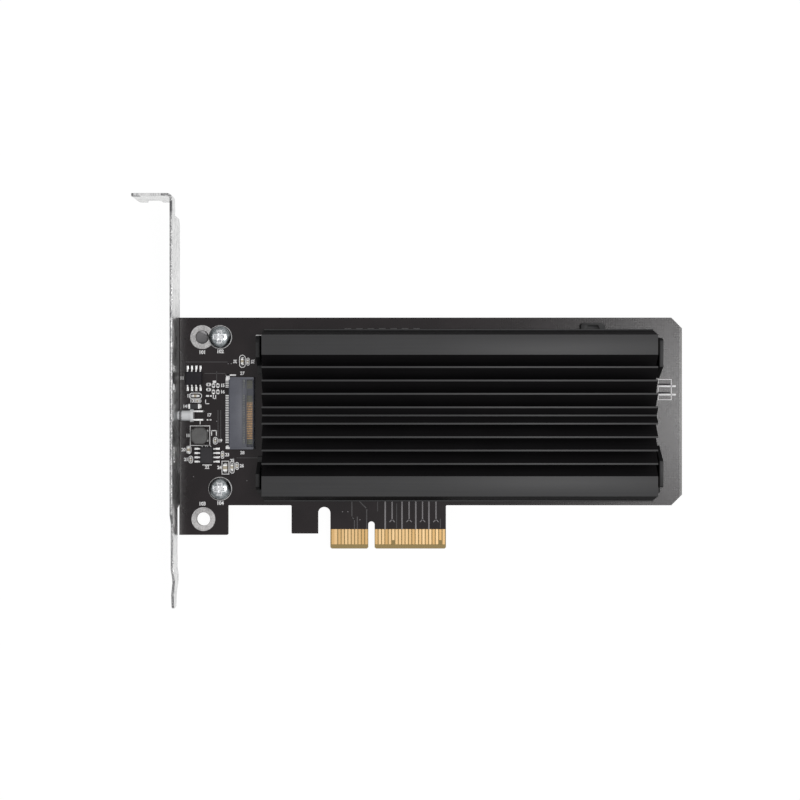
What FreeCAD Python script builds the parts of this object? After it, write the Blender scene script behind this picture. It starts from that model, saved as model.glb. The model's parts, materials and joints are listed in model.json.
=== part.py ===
import FreeCAD, Part
import math
import os

import Sketcher
from FreeCAD import Rotation, Vector

# PCI Express x4 adapter card for one M.2 solid-state drive, lying on its solder side.
#
# Frame: millimetres. X runs from the slot bracket to the far end of the card, Y from the edge
# connector up to the top edge, Z from the solder side to the component side. The origin is on
# the centre line of the key notch, at the bottom edge of the edge connector, half-way through
# the board.

DIMENSIONS = {
    "circuit board": {
        "board_thickness": 1.57, "board_left": -57.1, "board_right": 92.3, "board_top_y": 68.7,
        "board_low_y": 12.9, "corner_cut": 3.15, "corner_round": 0.35,
        "left_tab_right": -42.6, "left_tab_low": 4.1,
        "hook_left": -23.75, "hook_right": -15.85, "hook_low": 4.5, "hook_notch_top": 12.4,
    },
    "edge connector": {
        "contact_pitch": 1.0, "contact_width": 0.7, "contact_low": 1.3, "contact_long": 4.5,
        "contact_skin": 0.05, "short_contact_cut": 1.25, "first_contact_x": 1.5,
        "near_contacts": 11, "far_contacts": 21, "edge_left": -12.2, "edge_right": 22.15,
        "key_width": 1.9, "key_depth": 8.1, "bevel_height": 1.25, "bevel_depth": 0.45,
        "mouth_cut": 0.4, "trim_half": 0.45, "trim_over": 0.2,
    },
    "mounting holes": {
        "screw_x": -44.95, "upper_screw_y": 62.9, "lower_screw_y": 17.8, "spare_x": -50.3,
        "spare_low_x": -49.95, "spare_low_y": 8.8, "ring_radius": 3.55, "hole_radius": 2.0,
        "ring_skin": 0.04, "lead_hole_radius": 0.4,
    },
    "slot bracket": {
        "sheet_steel": 0.76, "bracket_width": 18.42, "plate_inner_x": -57.2,
        "bracket_top_y": 103.9, "flange_end_x": -69.2, "flange_round": 1.0, "bend_radius": 1.5,
        "tab_gap": 0.05, "tab_end_x": -40.6, "tab_half_width": 4.6, "tab_round": 1.0,
        "neck_low_y": 98.1, "neck_width": 6.9, "shoulder_round": 3.0,
        "tongue_width": 10.19, "tongue_offset": 1.5, "far_shoulder_y": 13.2,
        "far_shoulder_run": 1.0, "near_shoulder_y": 11.0, "near_shoulder_run": 2.6,
        "tongue_taper_y": -6.5, "tongue_end_y": -16.6, "tongue_tip_half": 2.6,
        "tongue_tip_round": 1.2, "tongue_bow": 0.4, "tongue_kick": 0.05, "bow_start_y": -5.0,
        "bow_in_y": -7.6, "bow_out_y": -8.9, "kick_y": -12.5, "notch_radius": 2.21,
        "notch_centre_x": -64.4, "notch_depth": 3.08, "light_hole_radius": 1.7,
    },
    "bracket screws": {
        "thread_radius": 1.45, "tapped_radius": 1.5, "pan_radius": 3.33, "pan_height": 2.2,
        "crown_share": 0.75, "screw_reach": 3.6, "recess_arm": 1.9, "recess_width": 0.95,
        "recess_depth": 1.3,
    },
    "heat sink": {
        "sink_left": -31.7, "sink_length": 115.1, "sink_centre_y": 39.7, "sink_top": 13.0,
        "sink_half_width": 25.5, "side_foot_half": 25.1, "sink_top_half": 23.5, "lip_top": 3.0,
        "bay_half_width": 12.25, "bay_top": 6.3, "fin_floor": 8.2, "fin_land": 0.52,
        "fin_lean": 0.7576, "first_fin": 2.65, "second_fin": 6.56, "third_fin": 10.43,
        "fourth_fin": 14.32, "flange_inner": 17.63, "stem_half": 0.7, "valley_half": 0.25,
        "pad_thickness": 1.0, "pad_width": 22.0, "pad_length": 104.0, "pad_inset": 4.0,
    },
    "side rails": {
        "rail_left": -33.75, "rail_right": 85.6, "rail_height": 2.0, "rail_inner": 12.3,
        "rail_outer": 23.0, "stop_thickness": 1.15, "stop_height": 8.4, "stop_drop": 1.6,
        "sink_screw_inset_x": 6.0, "sink_screw_u": 20.6,
        "sink_screw_reach": 9.0, "sink_pan_radius": 2.75, "sink_pan_height": 1.7,
        "sink_tap_depth": 8.0, "latch_x": 65.65, "latch_width": 7.1, "latch_reach": 4.3,
        "latch_gap": 0.1, "latch_corner": 0.6, "latch_wall": 0.7, "latch_recess_start": 2.2,
        "latch_recess_wide": 2.1, "latch_recess_narrow": 1.5, "latch_recess_depth": 0.9,
    },
    "drive socket": {
        "socket_x": -42.05, "socket_y": 40.3, "socket_width": 21.3, "socket_depth": 7.35,
        "socket_height": 4.2, "jaw_depth": 5.25, "comb_start": 3.9, "comb_drop": 0.3,
        "comb_back": 0.25, "comb_front": 0.2, "mould_edge": 0.3, "arm_drop": 0.2,
        "slot_floor": 1.9, "slot_ceiling": 3.3, "slot_back": 1.6, "slot_width": 19.9,
        "key_wall_y": 6.5, "key_wall_width": 1.2, "key_setback": 0.3, "pin_pitch": 0.5,
        "pin_width": 0.24, "pin_skin": 0.15, "pin_setback": 0.5, "low_pin_start": 0.2,
        "tail_length": 1.3, "peg_radius": 0.75, "peg_length": 1.3, "peg_y": 9.4, "peg_x": 3.4,
        "hold_width": 0.7, "hold_reach": 1.0, "hold_thickness": 0.2,
    },
    "drive standoff": {
        "standoff_x": 70.4, "standoff_radius": 2.75, "standoff_height": 2.4,
        "standoff_bore": 1.25, "pilot_radius": 1.95, "pilot_length": 1.4,
    },
    "light": {
        "light_y": 39.6, "light_radius": 1.5, "light_flange_radius": 1.9, "light_flange": 1.0,
        "light_tip_x": -57.9, "light_length": 5.3, "lead_thickness": 0.5, "lead_pitch": 2.54,
        "lead_bend_x": -49.8, "lead_stub": 1.0, "joint_radius": 1.0, "joint_height": 0.8,
        "joint_slope": 0.5,
    },
    "eight-legged chips": {
        "chip_length": 4.9, "chip_width": 3.9, "chip_height": 1.5, "chip_gap": 0.1,
        "chip_edge": 0.22, "leg_pitch": 1.27, "leg_count": 4, "leg_width": 0.42,
        "leg_rise": 0.75, "leg_thickness": 0.2, "leg_reach": 1.05, "leg_knee": 0.35,
        "leg_lean": 0.12, "leg_heel": 0.08,
    },
    "inductor": {
        "inductor_x": -50.95, "inductor_y": 33.6, "inductor_size": 4.9, "inductor_height": 3.0,
        "inductor_corner": 1.2, "inductor_round": 0.8, "inductor_edge": 0.3,
        "inductor_gap": 0.12, "terminal_start": 1.4, "terminal_half": 1.7,
    },
    "small chip parts": {
        "chip_part_edge": 0.06,
    },
}


def fill_sheet(document, groups):
    """Writes each named size to the sheet, one a row, under its group's heading."""
    sheet = document.addObject("Spreadsheet::Sheet", "dims")
    row = 1
    for heading, sizes in groups.items():
        sheet.set(f"A{row}", heading)
        row += 1
        for alias, number in sizes.items():
            sheet.set(f"A{row}", alias)
            sheet.set(f"B{row}", str(number))
            sheet.setAlias(f"B{row}", alias)
            row += 1
    return sheet


doc = FreeCAD.newDocument("adapter_card")
dims = fill_sheet(doc, DIMENSIONS)
doc.recompute()
sub_parts = []


def size(expression):
    """The present value of an expression on the sheet, in millimetres."""
    return float(dims.evalExpression(expression))


def place(thing, x="0", y="0", z="0", turn=0.0):
    """Binds an object's place to the sheet, turned about the vertical by a fixed angle."""
    thing.Placement.Rotation = Rotation(Vector(0, 0, 1), turn)
    for axis, expression in (("x", x), ("y", y), ("z", z)):
        thing.setExpression(f"Placement.Base.{axis}", expression)


def new_body(label, x="0", y="0", z="0", turn=0.0):
    """An empty body that becomes one sub-part."""
    body = doc.addObject("PartDesign::Body", label)
    body.Label = label
    body.AllowCompound = True
    place(body, x, y, z, turn)
    sub_parts.append(body)
    return body


def origin_feature(body, role):
    """One of the body's own origin planes or axes."""
    return next(feature for feature in body.Origin.OriginFeatures if feature.Role == role)


def new_sketch(body, role, offset="0"):
    """A sketch on an origin plane of the body, moved along the plane's normal."""
    sketch = body.newObject("Sketcher::SketchObject", f"{body.Label}_sketch")
    sketch.AttachmentSupport = [(origin_feature(body, role), "")]
    sketch.MapMode = "FlatFace"
    sketch.setExpression("AttachmentOffset.Base.z", offset)
    return sketch


def pin_point(sketch, geometry, position, x=None, y=None):
    """Ties a point of the sketch to an expression each way, or one way only."""
    for kind, axis, expression in (("DistanceX", -2, x), ("DistanceY", -1, y)):
        if expression is None:
            continue
        distance = size(expression)
        if abs(distance) < 1e-9:
            sketch.addConstraint(Sketcher.Constraint("PointOnObject", geometry, position, axis))
            continue
        constraint = Sketcher.Constraint(kind, -1, 1, geometry, position, distance)
        index = sketch.addConstraint(constraint)
        sketch.setExpression(f"Constraints[{index}]", expression)


def draw_outline(sketch, corners, arcs=None):
    """A closed outline through corners given as pairs of expressions.

    A side is straight unless arcs gives its centre, under the number of the corner it starts
    from; it then runs counterclockwise to the next corner.
    """
    arcs = arcs or {}
    points = [Vector(size(x), size(y), 0) for x, y in corners]
    first = sketch.GeometryCount
    count = len(points)
    for index in range(count):
        start, end = points[index], points[(index + 1) % count]
        if index not in arcs:
            sketch.addGeometry(Part.LineSegment(start, end))
            continue
        centre = Vector(size(arcs[index][0]), size(arcs[index][1]), 0)
        from_angle = math.atan2(start.y - centre.y, start.x - centre.x)
        to_angle = math.atan2(end.y - centre.y, end.x - centre.x)
        if to_angle < from_angle:
            to_angle += 2 * math.pi
        circle = Part.Circle(centre, Vector(0, 0, 1), (start - centre).Length)
        sketch.addGeometry(Part.ArcOfCircle(circle, from_angle, to_angle))
    for index in range(count):
        following = first + (index + 1) % count
        sketch.addConstraint(Sketcher.Constraint("Coincident", first + index, 2, following, 1))
    for index, (x, y) in enumerate(corners):
        pin_point(sketch, first + index, 1, x, y)
    for index, (_, y) in arcs.items():
        pin_point(sketch, first + index, 3, y=y)


def draw_rectangle(sketch, low_x, low_y, high_x, high_y):
    """A rectangle between two corners given as expressions."""
    draw_outline(sketch, [(low_x, low_y), (high_x, low_y), (high_x, high_y), (low_x, high_y)])


def draw_circle(sketch, x, y, radius):
    """A circle with its centre and radius given as expressions."""
    circle = Part.Circle(Vector(size(x), size(y), 0), Vector(0, 0, 1), size(radius))
    geometry = sketch.addGeometry(circle)
    pin_point(sketch, geometry, 3, x, y)
    index = sketch.addConstraint(Sketcher.Constraint("Radius", geometry, size(radius)))
    sketch.setExpression(f"Constraints[{index}]", radius)


def draw_facets(sketch, x, y, radius, sides, to_flats=False):
    """A regular outline of flat sides for a small or hidden round.

    The radius runs to the corners, or to the flats where a round piece passes through.
    """
    corner_radius = f"({radius}) / {math.cos(math.pi / sides):.6f}" if to_flats else f"({radius})"
    corners = []
    for index in range(sides):
        angle = 2 * math.pi * (index + 0.5) / sides
        corners.append((f"{x} + {corner_radius} * ({math.cos(angle):.6f})",
                        f"{y} + {corner_radius} * ({math.sin(angle):.6f})"))
    draw_outline(sketch, corners)


def pad(body, sketch, length, midplane=False, backwards=False):
    """Extrudes a sketch into the body."""
    feature = body.newObject("PartDesign::Pad", f"{body.Label}_pad")
    feature.Profile = sketch
    feature.setExpression("Length", length)
    feature.Midplane = midplane
    feature.Reversed = backwards
    sketch.Visibility = False
    doc.recompute()
    return feature


def cut(body, sketch, length, midplane=False, backwards=False):
    """Extrudes a sketch out of the body and stops if it took nothing away."""
    before = body.Shape.Volume
    feature = body.newObject("PartDesign::Pocket", f"{body.Label}_cut")
    feature.Profile = sketch
    feature.setExpression("Length", length)
    feature.Midplane = midplane
    feature.Reversed = backwards
    doc.recompute()
    if not body.Shape.Volume < before - 1e-6:
        raise ValueError(f"{feature.Label} cuts nothing")
    return feature


def repeat(body, originals, axis, spacing, count, second=None):
    """Repeats features in a row, or in rows and columns where second gives the other way."""
    pattern = body.newObject("PartDesign::LinearPattern", f"{body.Label}_row")
    pattern.Originals = originals
    pattern.Direction = (origin_feature(body, axis), [""])
    pattern.setExpression("Length", f"({spacing}) * ({count} - 1)")
    pattern.Occurrences = int(round(size(count)))
    if second:
        second_axis, second_spacing, second_count = second
        pattern.Direction2 = (origin_feature(body, second_axis), [""])
        pattern.setExpression("Length2", f"({second_spacing}) * ({second_count} - 1)")
        pattern.Occurrences2 = second_count
    body.Tip = pattern
    doc.recompute()
    return pattern


def soften(body, kind, amount, chosen):
    """Rounds or chamfers the edges of the body's last feature that the test picks."""
    edges = body.Tip.Shape.Edges
    names = [f"Edge{number}" for number, edge in enumerate(edges, 1) if chosen(edge)]
    if not names:
        raise ValueError(f"{body.Label} has no such edge")
    last = body.Tip
    feature = body.newObject(f"PartDesign::{kind}", f"{body.Label}_{kind.lower()}")
    feature.Base = (last, names)
    feature.setExpression("Radius" if kind == "Fillet" else "Size", amount)
    doc.recompute()
    return feature


def runs_along(edge, axis):
    """True where an edge is straight and parallel to an axis."""
    if edge.Curve.TypeId != "Part::GeomLine":
        return False
    return abs(edge.tangentAt(edge.FirstParameter).dot(axis)) > 0.999


def near(edge, x=None, y=None, z=None):
    """True where an edge's middle has the given coordinates, in the body's own frame."""
    middle = edge.CenterOfMass
    pairs = ((middle.x, x), (middle.y, y), (middle.z, z))
    return all(want is None or abs(have - size(want)) < 1e-4 for have, want in pairs)


ALONG_X, ALONG_Y, ALONG_Z = Vector(1, 0, 0), Vector(0, 1, 0), Vector(0, 0, 1)
HALF_BOARD = "dims.board_thickness / 2"
THROUGH_BOARD = "3 * dims.board_thickness"
THROUGH_PLATE = "-2.5 * dims.plate_inner_x"
SINK_SCREW_LEFT = "dims.sink_left + dims.sink_screw_inset_x"
SINK_SCREW_RUN = "dims.sink_length - 2 * dims.sink_screw_inset_x"
LIGHT_Z = "dims.light_flange_radius"
UPPER_LEAD_Y = "dims.light_y + dims.lead_pitch / 2"
LOWER_LEAD_Y = "dims.light_y - dims.lead_pitch / 2"
# Drive lengths in millimetres; the standoff stands in the hole for the longest.
SHORT_DRIVES = (42, 60, 80)
LONGEST_DRIVE = 110
# Flat sides of the small or hidden rounds: pegs and lead holes, screw holes, mounting rings.
PEG_SIDES, HIDDEN_HOLE_SIDES, RING_SIDES = 8, 12, 24


def drive_hole_x(length):
    """Where a drive of the given length is screwed down."""
    return f"dims.standoff_x - {LONGEST_DRIVE - length}"


def draw_slot(sketch, left, right, low, top):
    """A slot with a straight low end and a half-round top."""
    middle = f"(({right}) + ({left})) / 2"
    spring = f"({top}) - (({right}) - ({left})) / 2"
    draw_outline(sketch, [(left, low), (right, low), (right, spring), (left, spring)],
                 arcs={2: (middle, spring)})


def make_board():
    """The circuit board: its outline, notches, holes and the bevel of the edge connector."""
    body = new_body("circuit_board")
    left, right, top = "dims.board_left", "dims.board_right", "dims.board_top_y"
    low, cut_size, mouth = "dims.board_low_y", "dims.corner_cut", "dims.mouth_cut"
    outline = new_sketch(body, "XY_Plane")
    draw_outline(outline, [
        (left, top), (left, "dims.left_tab_low"),
        ("dims.left_tab_right", "dims.left_tab_low"), ("dims.left_tab_right", low),
        ("dims.hook_left", low), ("dims.hook_left", "dims.hook_low"),
        ("dims.edge_left", "dims.hook_low"), ("dims.edge_left", mouth),
        (f"dims.edge_left + {mouth}", "0"), (f"dims.edge_right - {mouth}", "0"),
        ("dims.edge_right", mouth), ("dims.edge_right", low),
        (f"{right} - {cut_size}", low), (right, f"{low} + {cut_size}"),
        (right, f"{top} - {cut_size}"), (f"{right} - {cut_size}", top),
    ])
    pad(body, outline, "dims.board_thickness", midplane=True)
    rounded = [("dims.left_tab_right", "dims.left_tab_low"), ("dims.hook_left", "dims.hook_low"),
               ("dims.hook_left", low), ("dims.left_tab_right", low), ("dims.edge_right", low)]
    soften(body, "Fillet", "dims.corner_round",
           lambda edge: runs_along(edge, ALONG_Z) and any(near(edge, x, y) for x, y in rounded))
    soften(body, "Chamfer", "dims.bevel_depth",
           lambda edge: runs_along(edge, ALONG_X) and near(edge, y="0"))
    bevel = body.Tip
    bevel.ChamferType = "Two distances"
    bevel.setExpression("Size", "dims.bevel_height")
    bevel.setExpression("Size2", "dims.bevel_depth")
    doc.recompute()
    slots = new_sketch(body, "XY_Plane")
    half_key = "dims.key_width / 2"
    mouth_half, spring = f"({half_key} + {mouth} + 1)", f"dims.key_depth - {half_key}"
    draw_outline(slots, [
        (f"-{mouth_half}", "-1"), (mouth_half, "-1"), (half_key, mouth), (half_key, spring),
        (f"-{half_key}", spring), (f"-{half_key}", mouth)], arcs={3: ("0", spring)})
    draw_slot(slots, "dims.hook_right", "dims.edge_left", "-1", "dims.hook_notch_top")
    cut(body, slots, THROUGH_BOARD, midplane=True)
    holes = new_sketch(body, "XY_Plane")
    for x, y in ring_places():
        draw_circle(holes, x, y, "dims.hole_radius")
    for length in SHORT_DRIVES + (LONGEST_DRIVE,):
        draw_circle(holes, drive_hole_x(length), "dims.socket_y", "dims.pilot_radius + 0.05")
    for side in ("-", "+"):
        screw_y = f"dims.sink_centre_y {side} dims.sink_screw_u"
        draw_circle(holes, SINK_SCREW_LEFT, screw_y, "dims.tapped_radius + 0.1")
        draw_circle(holes, f"{SINK_SCREW_LEFT} + {SINK_SCREW_RUN}", screw_y,
                    "dims.tapped_radius + 0.1")
        draw_facets(holes, "dims.socket_x + dims.peg_x", f"dims.socket_y {side} dims.peg_y",
                    "dims.peg_radius + 0.05", PEG_SIDES)
    for lead_y in (UPPER_LEAD_Y, LOWER_LEAD_Y):
        draw_facets(holes, "dims.lead_bend_x - dims.lead_thickness / 2", lead_y,
                    "dims.lead_hole_radius", PEG_SIDES)
    cut(body, holes, THROUGH_BOARD, midplane=True)


def ring_places():
    """The centres of the four plated mounting holes."""
    return [("dims.screw_x", "dims.upper_screw_y"), ("dims.screw_x", "dims.lower_screw_y"),
            ("dims.spare_x", "dims.upper_screw_y"), ("dims.spare_low_x", "dims.spare_low_y")]


def make_rings():
    """The tinned ring round each mounting hole, on both faces of the board."""
    body = new_body("mounting_rings")
    for sign, backwards in (("", False), ("-", True)):
        for x, y in ring_places():
            disc = new_sketch(body, "XY_Plane", f"{sign}{HALF_BOARD}")
            draw_facets(disc, x, y, "dims.ring_radius", RING_SIDES)
            pad(body, disc, "dims.ring_skin", backwards=backwards)
    holes = new_sketch(body, "XY_Plane")
    for x, y in ring_places():
        draw_facets(holes, x, y, "dims.hole_radius", RING_SIDES, to_flats=True)
    cut(body, holes, THROUGH_BOARD, midplane=True)


def make_contacts(label, front, joined, shortened):
    """The gold contacts on one face of the edge connector, each 1 mm from the next."""
    body = new_body(label)
    offset = HALF_BOARD if front else f"-{HALF_BOARD}"
    low, high = "dims.contact_low", "dims.contact_low + dims.contact_long"
    half = "dims.contact_width / 2"
    rows = (("-dims.first_contact_x - (dims.near_contacts - 1) * dims.contact_pitch",
             "dims.near_contacts"), ("dims.first_contact_x", "dims.far_contacts"))
    for start, count in rows:
        finger = new_sketch(body, "XY_Plane", offset)
        draw_rectangle(finger, f"{start} - {half}", low, f"{start} + {half}", high)
        feature = pad(body, finger, "dims.contact_skin", backwards=not front)
        repeat(body, [feature], "X_Axis", "dims.contact_pitch", count)
    first_x = rows[0][0]
    if joined:
        bridge = new_sketch(body, "XY_Plane", offset)
        draw_rectangle(bridge, first_x, low, f"{first_x} + dims.contact_pitch", high)
        pad(body, bridge, "dims.contact_skin", backwards=not front)
    trim = new_sketch(body, "XY_Plane")
    for x in shortened:
        draw_rectangle(trim, f"{x} - dims.trim_half", f"{low} - dims.trim_over",
                       f"{x} + dims.trim_half", f"{low} + dims.short_contact_cut")
    cut(body, trim, THROUGH_BOARD, midplane=True)


def make_bracket():
    """The slot bracket: one folded sheet with top flange, two tabs, shoulders and tongue."""
    body = new_body("slot_bracket")
    sheet = "dims.sheet_steel"
    inner = "dims.plate_inner_x"
    outer = f"{inner} - {sheet}"
    top, end = "dims.bracket_top_y", "dims.tongue_end_y"
    far = f"-{HALF_BOARD} - dims.tab_gap - {sheet}"
    bow, kick = "dims.tongue_bow", "dims.tongue_kick"
    bends = [("dims.bow_start_y", "0"), ("dims.bow_in_y", bow), ("dims.bow_out_y", bow),
             ("dims.kick_y", f"-{kick}"), (end, f"-{kick}")]
    fold = new_sketch(body, "XY_Plane", far)
    draw_outline(fold, [(inner, top), ("dims.flange_end_x", top),
                        ("dims.flange_end_x", f"{top} - {sheet}"), (outer, f"{top} - {sheet}")]
                 + [(f"{outer} + {shift}", y) for y, shift in bends]
                 + [(f"{inner} + {shift}", y) for y, shift in reversed(bends)])
    pad(body, fold, "dims.bracket_width")
    soften(body, "Fillet", "dims.bend_radius",
           lambda edge: runs_along(edge, ALONG_Z) and near(edge, x=inner, y=top))
    soften(body, "Fillet", f"dims.bend_radius - {sheet}",
           lambda edge: runs_along(edge, ALONG_Z) and near(edge, x=outer, y=f"{top} - {sheet}"))

    neck = new_sketch(body, "XY_Plane", far)
    draw_rectangle(neck, f"{outer} - dims.bend_radius + {sheet}", "dims.neck_low_y",
                   f"{inner} + 1", f"{top} + 1")
    cut(body, neck, "dims.bracket_width - dims.neck_width", backwards=True)

    middle = f"{far} + dims.bracket_width / 2 + dims.tongue_offset"
    half_tongue = "dims.tongue_width / 2"
    sides = (("-", far, "dims.far_shoulder_y", "dims.far_shoulder_run"),
             ("+", f"{far} + dims.bracket_width", "dims.near_shoulder_y",
              "dims.near_shoulder_run"))
    for sign, edge_z, shoulder, run in sides:
        side = new_sketch(body, "YZ_Plane")
        draw_outline(side, [
            (shoulder, f"{edge_z} {sign} 1"), (shoulder, edge_z),
            (f"{shoulder} - {run}", f"{middle} {sign} {half_tongue}"),
            ("dims.tongue_taper_y", f"{middle} {sign} {half_tongue}"),
            (end, f"{middle} {sign} dims.tongue_tip_half"),
            (f"{end} - 1", f"{middle} {sign} dims.tongue_tip_half"),
            (f"{end} - 1", f"{edge_z} {sign} 1")])
        cut(body, side, THROUGH_PLATE, midplane=True)

    light_hole = new_sketch(body, "YZ_Plane")
    draw_circle(light_hole, "dims.light_y", f"{HALF_BOARD} + {LIGHT_Z}", "dims.light_hole_radius")
    cut(body, light_hole, THROUGH_PLATE, midplane=True)

    notch = new_sketch(body, "XZ_Plane", f"-{top} - 1")
    radius, notch_x = "dims.notch_radius", "dims.notch_centre_x"
    draw_slot(notch, f"{notch_x} - {radius}", f"{notch_x} + {radius}", f"{far} - 1",
              f"{far} + dims.notch_depth + {radius}")
    cut(body, notch, "3", backwards=True)

    for tab_y in ("dims.upper_screw_y", "dims.lower_screw_y"):
        tab = new_sketch(body, "XY_Plane", far)
        draw_rectangle(tab, outer, f"{tab_y} - dims.tab_half_width", "dims.tab_end_x",
                       f"{tab_y} + dims.tab_half_width")
        pad(body, tab, sheet)
    taps = new_sketch(body, "XY_Plane", far)
    for tab_y in ("dims.upper_screw_y", "dims.lower_screw_y"):
        draw_circle(taps, "dims.screw_x", tab_y, "dims.tapped_radius")
    cut(body, taps, THROUGH_BOARD, midplane=True)
    soften(body, "Fillet", "dims.tab_round",
           lambda edge: runs_along(edge, ALONG_Z) and near(edge, x="dims.tab_end_x"))
    soften(body, "Fillet", "dims.shoulder_round",
           lambda edge: runs_along(edge, ALONG_X) and near(edge, y="dims.neck_low_y", z=far))
    soften(body, "Fillet", "dims.tongue_tip_round",
           lambda edge: runs_along(edge, ALONG_X) and near(edge, y=end))
    soften(body, "Fillet", "dims.flange_round",
           lambda edge: runs_along(edge, ALONG_Y) and near(edge, x="dims.flange_end_x"))


def make_screw(label, x, y, z, pan_radius, pan_height, reach, downwards, rows):
    """Pan-head screws with a cross recess, alike, one at each place of a row or grid."""
    body = new_body(label, x, y, z)
    sign = "" if downwards else "-"
    profile = new_sketch(body, "XZ_Plane")
    thread = "dims.thread_radius"
    draw_outline(profile, [
        ("0", f"{sign}({pan_height})"),
        (f"dims.crown_share * {pan_radius}", f"{sign}({pan_height})"), (pan_radius, "0"),
        (thread, "0"), (thread, f"{sign}(-{reach})"), ("0", f"{sign}(-{reach})")])
    turned = body.newObject("PartDesign::Revolution", f"{label}_turned")
    turned.Profile = profile
    turned.ReferenceAxis = (profile, ["V_Axis"])
    turned.Angle = 360
    doc.recompute()
    recess = new_sketch(body, "XY_Plane", f"{sign}({pan_height})")
    arm, half = "dims.recess_arm", "dims.recess_width / 2"
    draw_outline(recess, [
        (half, half), (arm, half), (arm, f"-{half}"), (half, f"-{half}"), (half, f"-{arm}"),
        (f"-{half}", f"-{arm}"), (f"-{half}", f"-{half}"), (f"-{arm}", f"-{half}"),
        (f"-{arm}", half), (f"-{half}", half), (f"-{half}", arm), (half, arm)])
    cross = cut(body, recess, "dims.recess_depth", backwards=not downwards)
    repeat(body, [turned, cross], *rows)


def make_heat_sink():
    """The heat-sink extrusion: outward-leaning fins, mirrored about the centre line."""
    body = new_body("heat_sink", "dims.sink_left", "dims.sink_centre_y", HALF_BOARD)
    top, floor, lean = "dims.sink_top", "dims.fin_floor", "dims.fin_lean"
    run_in = f"({top} - {floor}) * {lean}"
    land = "dims.fin_land"
    stem_z = f"{top} - (dims.first_fin - dims.stem_half) / {lean}"
    half = [("dims.bay_half_width", "dims.bay_top"), ("dims.bay_half_width", "dims.rail_height"),
            ("dims.sink_half_width", "dims.rail_height"),
            ("dims.sink_half_width", "dims.lip_top"), ("dims.side_foot_half", "dims.lip_top"),
            ("dims.sink_top_half", top),
            ("dims.flange_inner", top), (f"dims.flange_inner - {run_in}", floor)]
    for tip in ("dims.fourth_fin", "dims.third_fin", "dims.second_fin"):
        half += [(f"{tip} - {run_in}", floor), (tip, top), (f"{tip} - {land}", top),
                 (f"{tip} - {land} - {run_in}", floor)]
    valley_z = f"{top} - (dims.first_fin - {land} - dims.valley_half) / {lean}"
    half += [("dims.stem_half", floor), ("dims.stem_half", stem_z), ("dims.first_fin", top),
             (f"dims.first_fin - {land}", top), ("dims.valley_half", valley_z)]
    mirrored = [(f"-({u})", z) for u, z in reversed(half)]
    section = new_sketch(body, "YZ_Plane")
    draw_outline(section, half + mirrored)
    pad(body, section, "dims.sink_length")
    taps = new_sketch(body, "XY_Plane", "dims.rail_height")
    for side in ("-", ""):
        for x in ("dims.sink_screw_inset_x", "dims.sink_length - dims.sink_screw_inset_x"):
            draw_facets(taps, x, f"{side}dims.sink_screw_u", "dims.tapped_radius",
                        HIDDEN_HOLE_SIDES, to_flats=True)
    cut(body, taps, "dims.sink_tap_depth", backwards=True)


def make_rail(label, side, left_stop, right_stop, latch):
    """One side rail under the heat sink, with an upright stop at each end.

    A stop is given as its inner foot, the two ends of its top and its outer foot, measured
    outwards from the centre line.
    """
    body = new_body(label, "dims.rail_left", "dims.sink_centre_y", HALF_BOARD)
    length = "dims.rail_right - dims.rail_left"
    base = new_sketch(body, "XY_Plane")
    draw_rectangle(base, "0", f"{side}dims.rail_inner", length, f"{side}dims.rail_outer")
    pad(body, base, "dims.rail_height")
    height = "dims.stop_height"
    ends = (("0", left_stop), (f"{length} - dims.stop_thickness", right_stop))
    for start, (inner_foot, inner_top, outer_top, outer_foot) in ends:
        stop = new_sketch(body, "YZ_Plane", start)
        draw_outline(stop, [
            (f"{side}{inner_foot}", "0"), (f"{side}{inner_top}", height),
            (f"{side}{outer_top}", height),
            (f"{side}{outer_foot}", f"{height} - dims.stop_drop"), (f"{side}{outer_foot}", "0")])
        pad(body, stop, "dims.stop_thickness")
    if latch:
        middle, half = "dims.latch_x - dims.rail_left", "dims.latch_width / 2"
        tab = new_sketch(body, "XY_Plane")
        edge, corner = "dims.rail_outer", "dims.latch_corner"
        reach = f"{edge} + dims.latch_reach"
        draw_outline(tab, [
            (f"{middle} - {half}", edge), (f"{middle} - {half}", f"{reach} - {corner}"),
            (f"{middle} - {half} + {corner}", reach), (f"{middle} + {half} - {corner}", reach),
            (f"{middle} + {half}", f"{reach} - {corner}"), (f"{middle} + {half}", edge)])
        pad(body, tab, "dims.rail_height - dims.latch_gap")
        recess = new_sketch(body, "XY_Plane", "dims.rail_height - dims.latch_gap")
        start, end = f"{edge} + dims.latch_recess_start", f"{reach} - dims.latch_wall"
        draw_outline(recess, [
            (f"{middle} - dims.latch_recess_wide", start),
            (f"{middle} - dims.latch_recess_narrow", end),
            (f"{middle} + dims.latch_recess_narrow", end),
            (f"{middle} + dims.latch_recess_wide", start)])
        cut(body, recess, "dims.latch_recess_depth")
    holes = new_sketch(body, "XY_Plane")
    first = "dims.sink_left - dims.rail_left + dims.sink_screw_inset_x"
    for x in (first, f"{first} + {SINK_SCREW_RUN}"):
        draw_facets(holes, x, f"{side}dims.sink_screw_u", "dims.tapped_radius + 0.1",
                    HIDDEN_HOLE_SIDES, to_flats=True)
    cut(body, holes, "dims.rail_height", backwards=True)


def make_thermal_pad():
    """The soft pad under the heat sink, above the drive."""
    body = new_body("thermal_pad", "dims.sink_left + dims.pad_inset", "dims.sink_centre_y",
                    HALF_BOARD)
    patch = new_sketch(body, "XY_Plane", "dims.bay_top")
    draw_rectangle(patch, "0", "-dims.pad_width / 2", "dims.pad_length", "dims.pad_width / 2")
    pad(body, patch, "dims.pad_thickness", backwards=True)


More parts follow.
